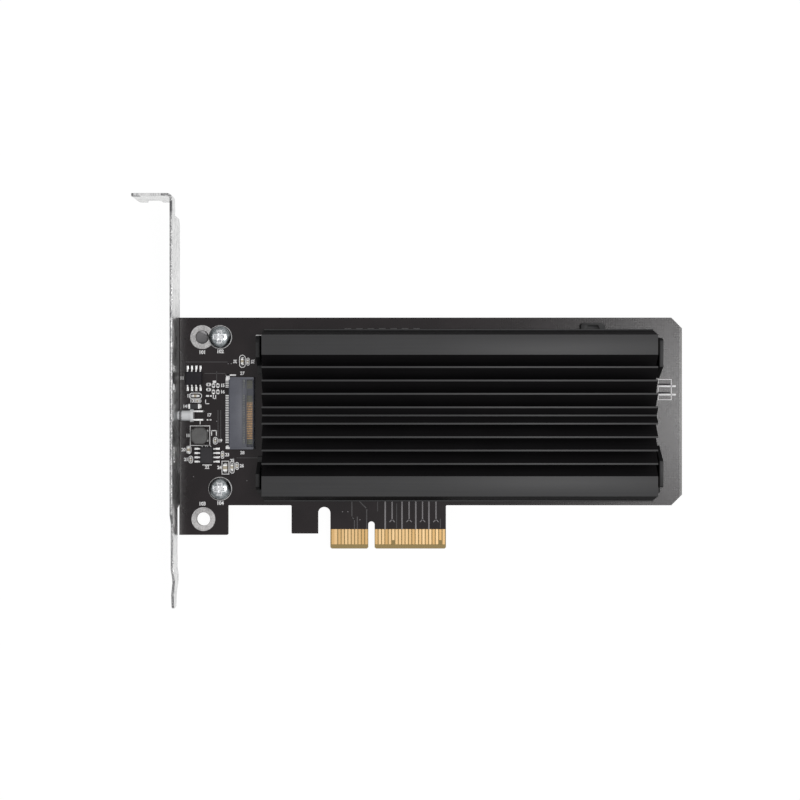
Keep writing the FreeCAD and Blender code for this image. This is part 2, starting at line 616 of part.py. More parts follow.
def make_standoff():
    """The brass standoff that holds the far end of the longest drive."""
    body = new_body("drive_standoff", "dims.standoff_x", "dims.socket_y", HALF_BOARD)
    profile = new_sketch(body, "XZ_Plane")
    draw_outline(profile, [
        ("dims.standoff_bore", "dims.standoff_height"),
        ("dims.standoff_radius", "dims.standoff_height"), ("dims.standoff_radius", "0"),
        ("dims.pilot_radius", "0"), ("dims.pilot_radius", "-dims.pilot_length"),
        ("dims.standoff_bore", "-dims.pilot_length")])
    turned = body.newObject("PartDesign::Revolution", "drive_standoff_turned")
    turned.Profile = profile
    turned.ReferenceAxis = (profile, ["V_Axis"])
    turned.Angle = 360
    doc.recompute()


def make_socket():
    """The drive socket: moulded housing, tails, two rows of contacts and hold-downs."""
    where = ("dims.socket_x", "dims.socket_y", HALF_BOARD)
    floor, ceiling, back = "dims.slot_floor", "dims.slot_ceiling", "dims.slot_back"
    jaw, depth, height = "dims.jaw_depth", "dims.socket_depth", "dims.socket_height"
    comb, comb_top = "dims.comb_start", "dims.socket_height - dims.comb_drop"
    half_slot = "dims.slot_width / 2"
    body = new_body("socket_housing", *where)
    edge = "dims.mould_edge"
    section = new_sketch(body, "XZ_Plane")
    draw_outline(section, [
        ("0", "0"), (depth, "0"), (depth, f"{floor} - {edge}"), (f"{depth} - {edge}", floor),
        (back, floor), (back, ceiling), (jaw, ceiling), (jaw, comb_top), (comb, comb_top),
        (comb, height), (edge, height), ("0", f"{height} - {edge}")])
    pad(body, section, "dims.slot_width", midplane=True)
    for side in ("-", ""):
        arm = new_sketch(body, "XY_Plane")
        draw_rectangle(arm, edge, f"{side}{half_slot}", depth, f"{side}dims.socket_width / 2")
        pad(body, arm, f"{height} - dims.arm_drop")
        peg = new_sketch(body, "XY_Plane")
        draw_facets(peg, "dims.peg_x", f"{side}dims.peg_y", "dims.peg_radius", PEG_SIDES)
        pad(body, peg, "dims.peg_length", backwards=True)
    key = new_sketch(body, "XY_Plane", floor)
    half_key = "dims.key_wall_width / 2"
    draw_rectangle(key, back, f"dims.key_wall_y - {half_key}", f"{jaw} - dims.key_setback",
                   f"dims.key_wall_y + {half_key}")
    pad(body, key, f"{ceiling} - {floor}")

    # Contacts stand in two groups, one each side of the key wall, which takes four places.
    gap = "2.5 * dims.pin_pitch"
    groups = ((f"dims.key_wall_y - {gap} - 28 * dims.pin_pitch", 29),
              (f"dims.key_wall_y + {gap}", 5))
    half = "dims.pin_width / 2"
    for first, count in groups:
        comb_slot = new_sketch(body, "XY_Plane", comb_top)
        draw_rectangle(comb_slot, f"{comb} + dims.comb_back", f"{first} - {half}",
                       f"{jaw} - dims.comb_front", f"{first} + {half}")
        slot = cut(body, comb_slot, f"{comb_top} - {ceiling}")
        repeat(body, [slot], "Y_Axis", "dims.pin_pitch", str(count))

    skin = "dims.pin_skin"
    rows = (("socket_tails", "-dims.tail_length", "0", "0", "0"),
            ("socket_upper_contacts", back, f"{jaw} - dims.pin_setback", f"{ceiling} - {skin}",
             "0"),
            ("socket_lower_contacts", f"{back} + dims.low_pin_start",
             f"{depth} - dims.pin_setback", floor, "-dims.pin_pitch / 2"))
    for label, start, end, low, shift in rows:
        row = new_body(label, *where)
        for first, count in groups:
            strip = new_sketch(row, "XY_Plane", low)
            draw_rectangle(strip, start, f"{first} + {shift} - {half}", end,
                           f"{first} + {shift} + {half}")
            strip_pad = pad(row, strip, skin)
            repeat(row, [strip_pad], "Y_Axis", "dims.pin_pitch", str(count))
    hold = new_body("socket_hold_downs", *where)
    for side in ("-", ""):
        foot = new_sketch(hold, "XY_Plane")
        draw_rectangle(foot, "-dims.hold_reach",
                       f"{side}(dims.socket_width / 2 - dims.hold_width)", "0",
                       f"{side}(dims.socket_width / 2)")
        pad(hold, foot, "dims.hold_thickness")


def make_light():
    """The indicator light: a clear lens lying down, its two bent leads and their joints."""
    body = new_body("light_lens", "dims.light_tip_x", "dims.light_y",
                    f"{HALF_BOARD} + dims.light_flange_radius")
    radius, length = "dims.light_radius", "dims.light_length"
    profile = new_sketch(body, "XZ_Plane")
    rim, flange = f"{length} - dims.light_flange", "dims.light_flange_radius"
    dome = []
    for degrees in (0, 30, 60, 90):
        along, out = 1 - math.sin(math.radians(degrees)), math.cos(math.radians(degrees))
        dome.append((f"{radius} * {along:.5f}", f"{radius} * {out:.5f}"))
    draw_outline(profile, dome + [(length, "0"), (length, flange), (rim, flange), (rim, radius)])
    turned = body.newObject("PartDesign::Revolution", "light_lens_turned")
    turned.Profile = profile
    turned.ReferenceAxis = (profile, ["H_Axis"])
    turned.Angle = 360
    doc.recompute()

    leads = new_body("light_leads", "0", LOWER_LEAD_Y)
    thick = "dims.lead_thickness"
    start = "dims.light_tip_x + dims.light_length"
    height = f"{HALF_BOARD} + dims.light_flange_radius"
    bend, low = "dims.lead_bend_x", f"-{HALF_BOARD} - dims.lead_stub"
    wire = new_sketch(leads, "XZ_Plane")
    draw_outline(wire, [
        (start, f"{height} - {thick} / 2"), (f"{bend} - {thick}", f"{height} - {thick} / 2"),
        (f"{bend} - {thick}", low), (bend, low), (bend, f"{height} + {thick} / 2"),
        (start, f"{height} + {thick} / 2")])
    lead = pad(leads, wire, thick, midplane=True)
    repeat(leads, [lead], "Y_Axis", "dims.lead_pitch", "2")

    joints = new_body("lead_joints", f"{bend} - {thick} / 2", LOWER_LEAD_Y, f"-{HALF_BOARD}")
    mound, square = new_sketch(joints, "XY_Plane"), new_sketch(joints, "XY_Plane")
    half = f"{thick} / 2"
    for across in ("0", "dims.lead_pitch"):
        draw_facets(mound, "0", across, "dims.joint_radius", PEG_SIDES)
        draw_rectangle(square, f"-{half}", f"{across} - {half}", half, f"{across} + {half}")
    pad(joints, mound, "dims.joint_height", backwards=True)
    foot = size("-dims.joint_height")
    soften(joints, "Chamfer", "dims.joint_slope",
           lambda edge: abs(edge.BoundBox.ZMax - foot) < 1e-4)
    cut(joints, square, THROUGH_BOARD, midplane=True)


def make_inductor():
    """The moulded power inductor and the two terminals under it."""
    where = ("dims.inductor_x", "dims.inductor_y", HALF_BOARD)
    body = new_body("inductor_core", *where)
    half, corner = "dims.inductor_size / 2", "dims.inductor_corner"
    block = new_sketch(body, "XY_Plane", "dims.inductor_gap")
    inset = f"({half} - {corner})"
    draw_outline(block, [
        (inset, half), (half, inset), (half, f"-{inset}"), (inset, f"-{half}"),
        (f"-{inset}", f"-{half}"), (f"-{half}", f"-{inset}"), (f"-{half}", inset),
        (f"-{inset}", half)])
    pad(body, block, "dims.inductor_height - dims.inductor_gap")
    soften(body, "Fillet", "dims.inductor_round", lambda edge: runs_along(edge, ALONG_Z))
    top = size("dims.inductor_height")
    soften(body, "Chamfer", "dims.inductor_edge",
           lambda edge: abs(edge.BoundBox.ZMin - top) < 1e-4)
    terminals = new_body("inductor_terminals", *where)
    for side in ("-", ""):
        foot = new_sketch(terminals, "XY_Plane")
        draw_rectangle(foot, f"{side}dims.terminal_start", "-dims.terminal_half",
                       f"{side}{half}", "dims.terminal_half")
        pad(terminals, foot, "dims.inductor_gap")


def make_chip(label, x, y, block_size, turned=False):
    """A small chip part, one block with softened edges."""
    length, width, height = block_size
    body = new_body(label, str(x), str(y), HALF_BOARD, 90.0 if turned else 0.0)
    block = new_sketch(body, "XY_Plane")
    draw_rectangle(block, str(-length / 2), str(-width / 2), str(length / 2), str(width / 2))
    pad(body, block, str(height))
    soften(body, "Chamfer", "dims.chip_part_edge", lambda edge: True)


def make_gull_wing(name, x, y, turned=False):
    """A moulded chip and its two rows of bent legs, with the rows along its length."""
    half, side = "dims.chip_length / 2", "dims.chip_width / 2"
    top, rise, thick = "dims.chip_height", "dims.leg_rise", "dims.leg_thickness"
    turn = 90.0 if turned else 0.0
    body = new_body(f"{name}_case", str(x), str(y), HALF_BOARD, turn)
    block = new_sketch(body, "XY_Plane", "dims.chip_gap")
    draw_rectangle(block, f"-{half}", f"-{side}", half, side)
    pad(body, block, f"{top} - dims.chip_gap")
    soften(body, "Chamfer", "dims.chip_edge",
           lambda edge: abs(edge.BoundBox.ZMin - size(top)) < 1e-4)
    legs = new_body(f"{name}_legs", str(x), str(y), HALF_BOARD, turn)
    knee, toe = f"{side} + dims.leg_knee", f"{side} + dims.leg_reach"
    run = "dims.leg_pitch * (dims.leg_count - 1)"
    pads = []
    for sign in ("", "-"):
        corners = [(side, rise), (knee, rise), (f"{knee} + dims.leg_lean", thick), (toe, thick),
                   (toe, "0"), (f"{knee} - dims.leg_heel", "0"),
                   (f"{knee} - {thick}", f"{rise} - {thick}"), (side, f"{rise} - {thick}")]
        leg = new_sketch(legs, "YZ_Plane", f"-{run} / 2 - dims.leg_width / 2")
        draw_outline(leg, [(f"{sign}({u})", z) for u, z in corners])
        pads.append(pad(legs, leg, "dims.leg_width"))
    repeat(legs, pads, "X_Axis", "dims.leg_pitch", "dims.leg_count")


# Sizes of the chip parts: length, width, height.
SMALL_CAPACITOR, CAPACITOR, LARGE_CAPACITOR = (1.0, 0.5, 0.5), (1.6, 0.8, 0.8), (2.0, 1.25, 1.1)
RESISTOR, DIODE = (1.0, 0.5, 0.35), (3.4, 1.5, 1.0)
# Each chip part: name, centre, size, and whether its length runs along Y.
CHIPS = [
    ("capacitor_1", -38.35, 55.7, CAPACITOR, True), ("capacitor_2", -36.7, 55.6, SMALL_CAPACITOR, True),
    ("capacitor_3", -52.3, 45.4, CAPACITOR, False), ("capacitor_4", -51.7, 43.9, SMALL_CAPACITOR, False),
    ("capacitor_5", -54.3, 29.4, CAPACITOR, True), ("capacitor_6", -53.7, 26.5, SMALL_CAPACITOR, True),
    ("capacitor_7", -46.4, 32.1, SMALL_CAPACITOR, True),
    ("capacitor_8", -44.25, 27.9, SMALL_CAPACITOR, True),
    ("capacitor_9", -43.4, 24.1, LARGE_CAPACITOR, True), ("capacitor_10", -41.4, 24.2, CAPACITOR, True),
    ("capacitor_11", -39.95, 24.6, SMALL_CAPACITOR, True),
    ("resistor_1", -48.4, 48.8, RESISTOR, False), ("resistor_2", -48.4, 47.3, RESISTOR, False),
    ("resistor_3", -46.95, 48.5, RESISTOR, True), ("resistor_4", -46.95, 46.6, RESISTOR, True),
    ("resistor_5", -45.65, 48.5, RESISTOR, True), ("resistor_6", -45.65, 46.6, RESISTOR, True),
    ("resistor_7", -48.25, 38.3, RESISTOR, False), ("diode", -52.6, 42.3, DIODE, False),
]

make_board()
make_rings()
make_contacts("edge_contacts_front", True, True, ("6.5", "20.5"))
make_contacts("edge_contacts_back", False, False, ("-11.5",))
make_bracket()
make_screw("bracket_screws", "dims.screw_x", "dims.lower_screw_y", f"{HALF_BOARD} + dims.ring_skin",
           "dims.pan_radius", "dims.pan_height", "dims.screw_reach", True,
           ("Y_Axis", "dims.upper_screw_y - dims.lower_screw_y", "2"))
make_screw("heat_sink_screws", SINK_SCREW_LEFT, "dims.sink_centre_y - dims.sink_screw_u",
           f"-{HALF_BOARD}", "dims.sink_pan_radius", "dims.sink_pan_height",
           "dims.sink_screw_reach", False,
           ("X_Axis", SINK_SCREW_RUN, "2", ("Y_Axis", "2 * dims.sink_screw_u", 2)))
make_heat_sink()
make_rail("upper_rail", "", ("13.9", "17.0", "21.3", "23.4"), ("11.0", "14.2", "21.9", "22.7"),
          True)
make_rail("lower_rail", "-", ("12.8", "17.2", "20.9", "21.9"), ("9.0", "13.4", "20.8", "21.2"),
          False)
make_thermal_pad()
make_standoff()
make_socket()
make_light()
make_inductor()
make_gull_wing("clock_chip", -52.7, 50.65)
make_gull_wing("power_chip", -48.85, 27.8, True)
for chip in CHIPS:
    make_chip(*chip)

doc.recompute()
for thing in doc.Objects:
    if "Invalid" in thing.State or "Error" in thing.State:
        raise ValueError(f"{thing.Label} failed: {thing.State}")
os.makedirs("parts", exist_ok=True)
for body in sub_parts:
    if body.Shape.isNull() or not body.Shape.isValid():
        raise ValueError(f"{body.Label} has no valid shape")
    body.Shape.exportStep(f"parts/{body.Label}.step")
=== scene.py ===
"""Looks of a drive adapter card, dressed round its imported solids.

All places are in metres in the part's own frame: X runs from the slot bracket to the far end, Y
from the edge connector up to the top edge, and Z from the solder side to the component side. A
finish keeps its places and sizes in millimetres.
"""

import json
import logging
import math
from dataclasses import dataclass, field
from enum import Enum
from typing import Any, Callable

import bpy
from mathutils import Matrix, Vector

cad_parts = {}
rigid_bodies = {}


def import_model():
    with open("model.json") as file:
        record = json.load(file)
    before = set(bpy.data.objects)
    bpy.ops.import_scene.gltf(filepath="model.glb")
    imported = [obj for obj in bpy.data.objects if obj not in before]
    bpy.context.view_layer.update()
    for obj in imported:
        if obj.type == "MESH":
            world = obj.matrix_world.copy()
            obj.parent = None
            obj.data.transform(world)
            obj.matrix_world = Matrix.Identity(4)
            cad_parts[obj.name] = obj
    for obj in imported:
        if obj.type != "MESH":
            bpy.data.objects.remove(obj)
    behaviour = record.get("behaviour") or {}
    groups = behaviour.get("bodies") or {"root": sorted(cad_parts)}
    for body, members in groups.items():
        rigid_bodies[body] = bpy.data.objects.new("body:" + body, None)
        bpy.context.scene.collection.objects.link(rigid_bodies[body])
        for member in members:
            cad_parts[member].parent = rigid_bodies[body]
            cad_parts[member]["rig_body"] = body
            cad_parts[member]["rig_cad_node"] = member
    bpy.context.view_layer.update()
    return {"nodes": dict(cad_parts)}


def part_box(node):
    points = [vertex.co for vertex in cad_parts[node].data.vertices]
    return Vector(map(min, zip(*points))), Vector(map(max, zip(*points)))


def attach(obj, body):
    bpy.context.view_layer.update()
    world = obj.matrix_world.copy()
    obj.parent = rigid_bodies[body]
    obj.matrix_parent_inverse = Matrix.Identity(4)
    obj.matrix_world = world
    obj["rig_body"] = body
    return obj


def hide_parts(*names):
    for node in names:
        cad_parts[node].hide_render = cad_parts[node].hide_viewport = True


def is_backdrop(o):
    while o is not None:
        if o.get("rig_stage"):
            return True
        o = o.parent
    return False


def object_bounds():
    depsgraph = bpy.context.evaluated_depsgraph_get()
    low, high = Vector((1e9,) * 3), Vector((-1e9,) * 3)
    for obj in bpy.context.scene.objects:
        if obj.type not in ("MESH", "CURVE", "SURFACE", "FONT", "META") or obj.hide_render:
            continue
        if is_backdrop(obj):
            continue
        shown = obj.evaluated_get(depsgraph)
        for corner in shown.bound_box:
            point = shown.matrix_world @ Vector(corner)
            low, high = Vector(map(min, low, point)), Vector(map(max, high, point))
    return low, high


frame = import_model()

LOG = logging.getLogger("adapter_card")
MM = 0.001
QUARTER_TURN = math.pi / 2.0
Point = tuple[float, float, float]
Colour = tuple[float, float, float]
Run = tuple[float, float, float, float]


def box_mm(node: str) -> tuple[Vector, Vector]:
    """A node's lowest and highest corners, in millimetres."""
    low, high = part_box(node)
    return low / MM, high / MM


def middle_and_size(node: str) -> tuple[Vector, Vector]:
    """The middle and the size of a node's box, in metres."""
    low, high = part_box(node)
    return (low + high) / 2.0, high - low


def finish_of(node: str) -> bpy.types.Material:
    """The material that a CAD node has been given."""
    return frame["nodes"][node].data.materials[0]


# ---------------------------------------------------------------- shader graph


class Value:
    """A node's output socket, with the arithmetic that adds Math nodes."""

    def __init__(self, graph: "Graph", socket: bpy.types.NodeSocket) -> None:
        """Keeps the graph and the socket."""
        self.graph = graph
        self.socket = socket

    def _math(self, operation: str, *operands: Any) -> "Value":
        """Adds a Math node of one operation on the operands."""
        sockets = dict(enumerate(operands))
        return self.graph.node("ShaderNodeMath", {"operation": operation}, sockets)

    def __add__(self, other: Any) -> "Value":
        """self + other"""
        return self._math("ADD", self, other)

    def __sub__(self, other: Any) -> "Value":
        """self - other"""
        return self._math("SUBTRACT", self, other)

    def __mul__(self, other: Any) -> "Value":
        """self * other"""
        return self._math("MULTIPLY", self, other)

    def __truediv__(self, other: Any) -> "Value":
        """self / other"""
        return self._math("DIVIDE", self, other)

    def __radd__(self, other: Any) -> "Value":
        """other + self"""
        return self._math("ADD", other, self)

    def __rsub__(self, other: Any) -> "Value":
        """other - self"""
        return self._math("SUBTRACT", other, self)

    def __rmul__(self, other: Any) -> "Value":
        """other * self"""
        return self._math("MULTIPLY", other, self)

    def __rtruediv__(self, other: Any) -> "Value":
        """other / self"""
        return self._math("DIVIDE", other, self)

    def __abs__(self) -> "Value":
        """abs(self)"""
        return self._math("ABSOLUTE", self)

    def floor(self) -> "Value":
        """The whole number at or under the value."""
        return self._math("FLOOR", self)

    def above(self, edge: float) -> "Value":
        """1 where the value is over an edge, and 0 elsewhere."""
        return self._math("GREATER_THAN", self, edge)

    def below(self, edge: float) -> "Value":
        """1 where the value is under an edge, and 0 elsewhere."""
        return self._math("LESS_THAN", self, edge)

    def between(self, low: float, high: float) -> "Value":
        """1 where the value lies between two edges, and 0 elsewhere."""
        return self.above(low) * self.below(high)

    def step(self, low: float, high: float) -> "Value":
        """0 below low, 1 above high, and a smooth rise between them."""
        return self.graph.node("ShaderNodeMapRange", {"interpolation_type": "SMOOTHSTEP"},
                               {"Value": self, "From Min": low, "From Max": high})


class Graph:
    """The node tree of one material, or of the room."""

    def __init__(self, name: str, room: bool = False) -> None:
        """Starts an empty node tree.

        Args:
            name: what the material or the room is called.
            room: whether it is the room's, and not a material's.
        """
        blocks = bpy.data.worlds if room else bpy.data.materials
        self.material = blocks.new(name)
        self.material.use_nodes = True
        self.tree = self.material.node_tree
        self.tree.nodes.clear()

    def node(self, kind: str, settings: dict | None = None, sockets: dict | None = None,
             output: int | str = 0) -> Value:
        """Adds one node.

        Args:
            kind: the node's type.
            settings: its own settings, set first.
            sockets: the values or links of its input sockets, by name or number.
            output: the output socket to hand back.

        Returns:
            The output socket, wrapped.
        """
        made = self.tree.nodes.new(kind)
        for key, setting in (settings or {}).items():
            setattr(made, key, setting)
        for key, value in (sockets or {}).items():
            target = made.inputs[key]
            if isinstance(value, Value):
                self.tree.links.new(value.socket, target)
            elif target.type == "RGBA" and len(value) == 3:
                target.default_value = (*value, 1.0)
            else:
                target.default_value = value
        return Value(self, made.outputs[output])

    def vector(self, operation: str, sockets: dict) -> Value:
        """Adds a Vector Math node of one operation."""
        return self.node("ShaderNodeVectorMath", {"operation": operation}, sockets)

    def place_mm(self) -> Value:
        """Object coordinates in millimetres."""
        raw = self.node("ShaderNodeTexCoord", output="Object")
        return self.vector("SCALE", {0: raw, "Scale": 1.0 / MM})

    def axes(self, vector: Value) -> tuple[Value, Value, Value]:
        """The three parts of a vector."""
        split = self.node("ShaderNodeSeparateXYZ", sockets={0: vector}).socket.node
        return tuple(Value(self, output) for output in split.outputs)

    def facing(self) -> tuple[Value, Value, Value]:
        """The three parts of the surface's own normal."""
        return self.axes(self.node("ShaderNodeTexCoord", output="Normal"))

    def stretch(self, vector: Value, scale: Point) -> Value:
        """A vector scaled along each axis."""
        return self.vector("MULTIPLY", {0: vector, 1: scale})

    def noise(self, vector: Value, scale: float, detail: float = 2.0,
              roughness: float = 0.5) -> Value:
        """Smooth noise from 0 to 1, with scale in waves per millimetre."""
        sockets = {"Vector": vector, "Scale": scale, "Detail": detail, "Roughness": roughness}
        return self.node("ShaderNodeTexNoise", sockets=sockets)

    def cells(self, vector: Value, scale: float) -> Value:
        """Flat cells with a random colour each."""
        return self.node("ShaderNodeTexVoronoi", sockets={"Vector": vector, "Scale": scale},
                         output="Color")

    def mix(self, mask: Any, low: Any, high: Any) -> Value:
        """A colour between low, where the mask is 0, and high, where it is 1."""
        sockets = {0: mask, 6: low, 7: high}
        return self.node("ShaderNodeMix", {"data_type": "RGBA"}, sockets, output=2)

    def blend(self, mask: Any, low: Any, high: Any) -> Value:
        """A number between low, where the mask is 0, and high, where it is 1."""
        return self.node("ShaderNodeMix", {"data_type": "FLOAT"}, {0: mask, 2: low, 3: high})

    def bump(self, height: Value, depth_mm: float, strength: float) -> Value:
        """A normal from a height between 0 and 1 that stands for a depth in millimetres."""
        sockets = {"Height": height, "Distance": depth_mm * MM, "Strength": strength}
        return self.node("ShaderNodeBump", sockets=sockets, output="Normal")

    def shader(self, **sockets: Any) -> Value:
        """A Principled shader, with underscores for the spaces in its sockets' names."""
        named = {key.replace("_", " "): value for key, value in sockets.items()}
        return self.node("ShaderNodeBsdfPrincipled", sockets=named)

    def surface(self, **sockets: Any) -> bpy.types.Material:
        """Ends the graph in one Principled shader and hands back the material."""
        return self.finish(self.shader(**sockets))

    def split(self, mask: Value, low: Value, high: Value) -> bpy.types.Material:
        """Ends the graph in low, where the mask is 0, and high, where it is 1."""
        return self.finish(self.node("ShaderNodeMixShader", sockets={0: mask, 1: low, 2: high}))

    def finish(self, shader: Value, kind: str = "ShaderNodeOutputMaterial") -> bpy.types.ID:
        """Ends the graph.

        Args:
            shader: the last shader.
            kind: the type of the output node.

        Returns:
            The finished material or room.
        """
        out = self.tree.nodes.new(kind)
        self.tree.links.new(shader.socket, out.inputs["Surface"])
        return self.material


# -------------------------------------------------------------------- finishes


@dataclass(frozen=True)
class BoardFinish:
    """Black solder mask over copper, with bare laminate round the edge contacts."""

    mask_dark: Colour = (0.0088, 0.0050, 0.0060)
    mask_light: Colour = (0.0140, 0.0090, 0.0102)
    margin: Colour = (0.030, 0.028, 0.027)
    margin_line: Colour = (0.20, 0.195, 0.19)
    laminate: Colour = (0.33, 0.235, 0.085)
    laminate_low: Colour = (0.36, 0.265, 0.115)
    weave: Colour = (0.20, 0.14, 0.05)
    core: Colour = (0.070, 0.062, 0.045)
    core_light: Colour = (0.12, 0.105, 0.075)
    mask_gloss: float = 0.13
    laminate_gloss: float = 0.5
    wall_gloss: float = 0.7
    pull_back: float = 0.42
    far_line: float = 0.2
    near_half_line: float = 0.12
    near_share: float = 0.35
    connector_room: float = 0.8
    bevel_drop: float = 0.05
    bevel_blur: float = 0.15
    face_slack: float = 0.02

    def material(self) -> bpy.types.Material:
        """The board's material.

        Returns:
            The material.
        """
        board_low, board_high = box_mm("circuit_board")
        contacts_low, contacts_high = box_mm("edge_contacts_front")
        graph = Graph("black_solder_mask")
        place = graph.place_mm()
        x, y, z = graph.axes(place)
        connector = y.below(contacts_high.y) * x.between(contacts_low.x - self.connector_room,
                                                         contacts_high.x + self.connector_room)
        wall = abs(z).below(board_high.z - self.face_slack)
        margin_x, near_x = board_high.x - self.pull_back, board_low.x + self.pull_back
        line = (x - (margin_x - self.far_line)).between(0.0, self.far_line)
        near_line = x.between(near_x - self.near_half_line, near_x + self.near_half_line)
        cloud = graph.noise(place, 0.11, detail=3.0)
        weave_x, weave_y = (graph.node("ShaderNodeTexWave", {"bands_direction": axis},
                                       {"Vector": place, "Scale": 0.62, "Distortion": 0.6})
                            for axis in "XY")
        weave = (weave_x + weave_y) * 0.5
        grain = graph.noise(place, 4.0, detail=4.0, roughness=0.7)
        mask = graph.mix(cloud.step(0.35, 0.7), self.mask_dark, self.mask_light)
        bevel_y = contacts_low.y - self.bevel_drop
        above_bevel = (y + grain * 0.25).step(bevel_y - self.bevel_blur, bevel_y + self.bevel_blur)
        bare = graph.mix(above_bevel, self.laminate_low, self.laminate)
        bare = graph.mix(weave.step(0.2, 0.9) * 0.35, bare, self.weave)
        plies = graph.noise(graph.stretch(place, (0.3, 0.3, 6.0)), 1.2)
        edge = graph.mix(plies.step(0.4, 0.6), self.core, self.core_light)
        colour = graph.mix(connector, mask, bare)
        colour = graph.mix(wall * (1.0 - connector), colour, edge)
        colour = graph.mix(x.above(margin_x) * (1.0 - wall), colour, self.margin)
        lines = (line + near_line * self.near_share) * (1.0 - wall)
        colour = graph.mix(lines, colour, self.margin_line)
        mottle = graph.noise(place, 1.1, detail=4.0, roughness=0.7)
        gloss = self.mask_gloss + mottle * 0.09 + grain * 0.05
        gloss = graph.blend(connector, gloss, self.laminate_gloss)
        height = grain * 0.5 + weave * 0.5
        return graph.surface(Base_Color=colour, Specular_IOR_Level=0.3,
                             Roughness=graph.blend(wall, gloss, self.wall_gloss),
                             Normal=graph.bump(height, depth_mm=0.010, strength=0.7))


@dataclass(frozen=True)
class MetalFinish:
    """Plain or plated metal with fine grain and cloudy gloss."""

    name: str
    light: Colour
    dark: Colour
    gloss: float
    gloss_spread: float = 0.12
    grain_mm: float = 0.25
    bump_mm: float = 0.004
    # painted shade for the faces that slope away from straight up; None paints none
    slope_shade: Colour | None = None
    slope_normal: float = 0.85

    def material(self) -> bpy.types.Material:
        """The metal's material, with painted shade on its slopes where a shade colour for them is
        given.

        Returns:
            The material.
        """
        graph = Graph(self.name)
        place = graph.place_mm()
        grain = graph.noise(place, 1.0 / self.grain_mm, detail=4.0, roughness=0.65)
        cloud = graph.noise(place, 0.35, detail=3.0)
        colour = graph.mix((grain * 0.6 + cloud * 0.4).step(0.35, 0.65), self.dark, self.light)
        if self.slope_shade:
            # painted shade: the sloping faces take the shade colour
            shaded_slope = graph.facing()[2].below(self.slope_normal)
            colour = graph.mix(shaded_slope, colour, self.slope_shade)
        gloss = self.gloss + (grain - 0.5) * self.gloss_spread + (cloud - 0.5) * self.gloss_spread
        return graph.surface(Base_Color=colour, Metallic=1.0, Roughness=gloss,
                             Normal=graph.bump(grain, self.bump_mm, strength=0.6))


@dataclass(frozen=True)
class SpringFinish:
    """Copper-coloured contact springs that are dull beside the middle stretch."""

    light: Colour = (0.58, 0.37, 0.19)
    dark: Colour = (0.30, 0.20, 0.11)
    dull: Colour = (0.15, 0.15, 0.115)
    low_end: float = 1.4
    high_end: float = 6.3

    def material(self) -> bpy.types.Material:
        """The springs' material.

        Returns:
            The material.
        """
        low, high = box_mm("socket_lower_contacts")
        graph = Graph("contact_springs")
        place = graph.place_mm()
        grain = graph.noise(place, 3.0, detail=3.0)
        coppery = graph.axes(place)[1].between(low.y + self.low_end, high.y - self.high_end)
        copper = graph.mix(grain.step(0.35, 0.65), self.dark, self.light)
        colour = graph.mix(coppery, self.dull, copper)
        return graph.surface(Base_Color=colour, Metallic=1.0, Roughness=0.34 + grain * 0.1,
                             Normal=graph.bump(grain, depth_mm=0.004, strength=0.5))


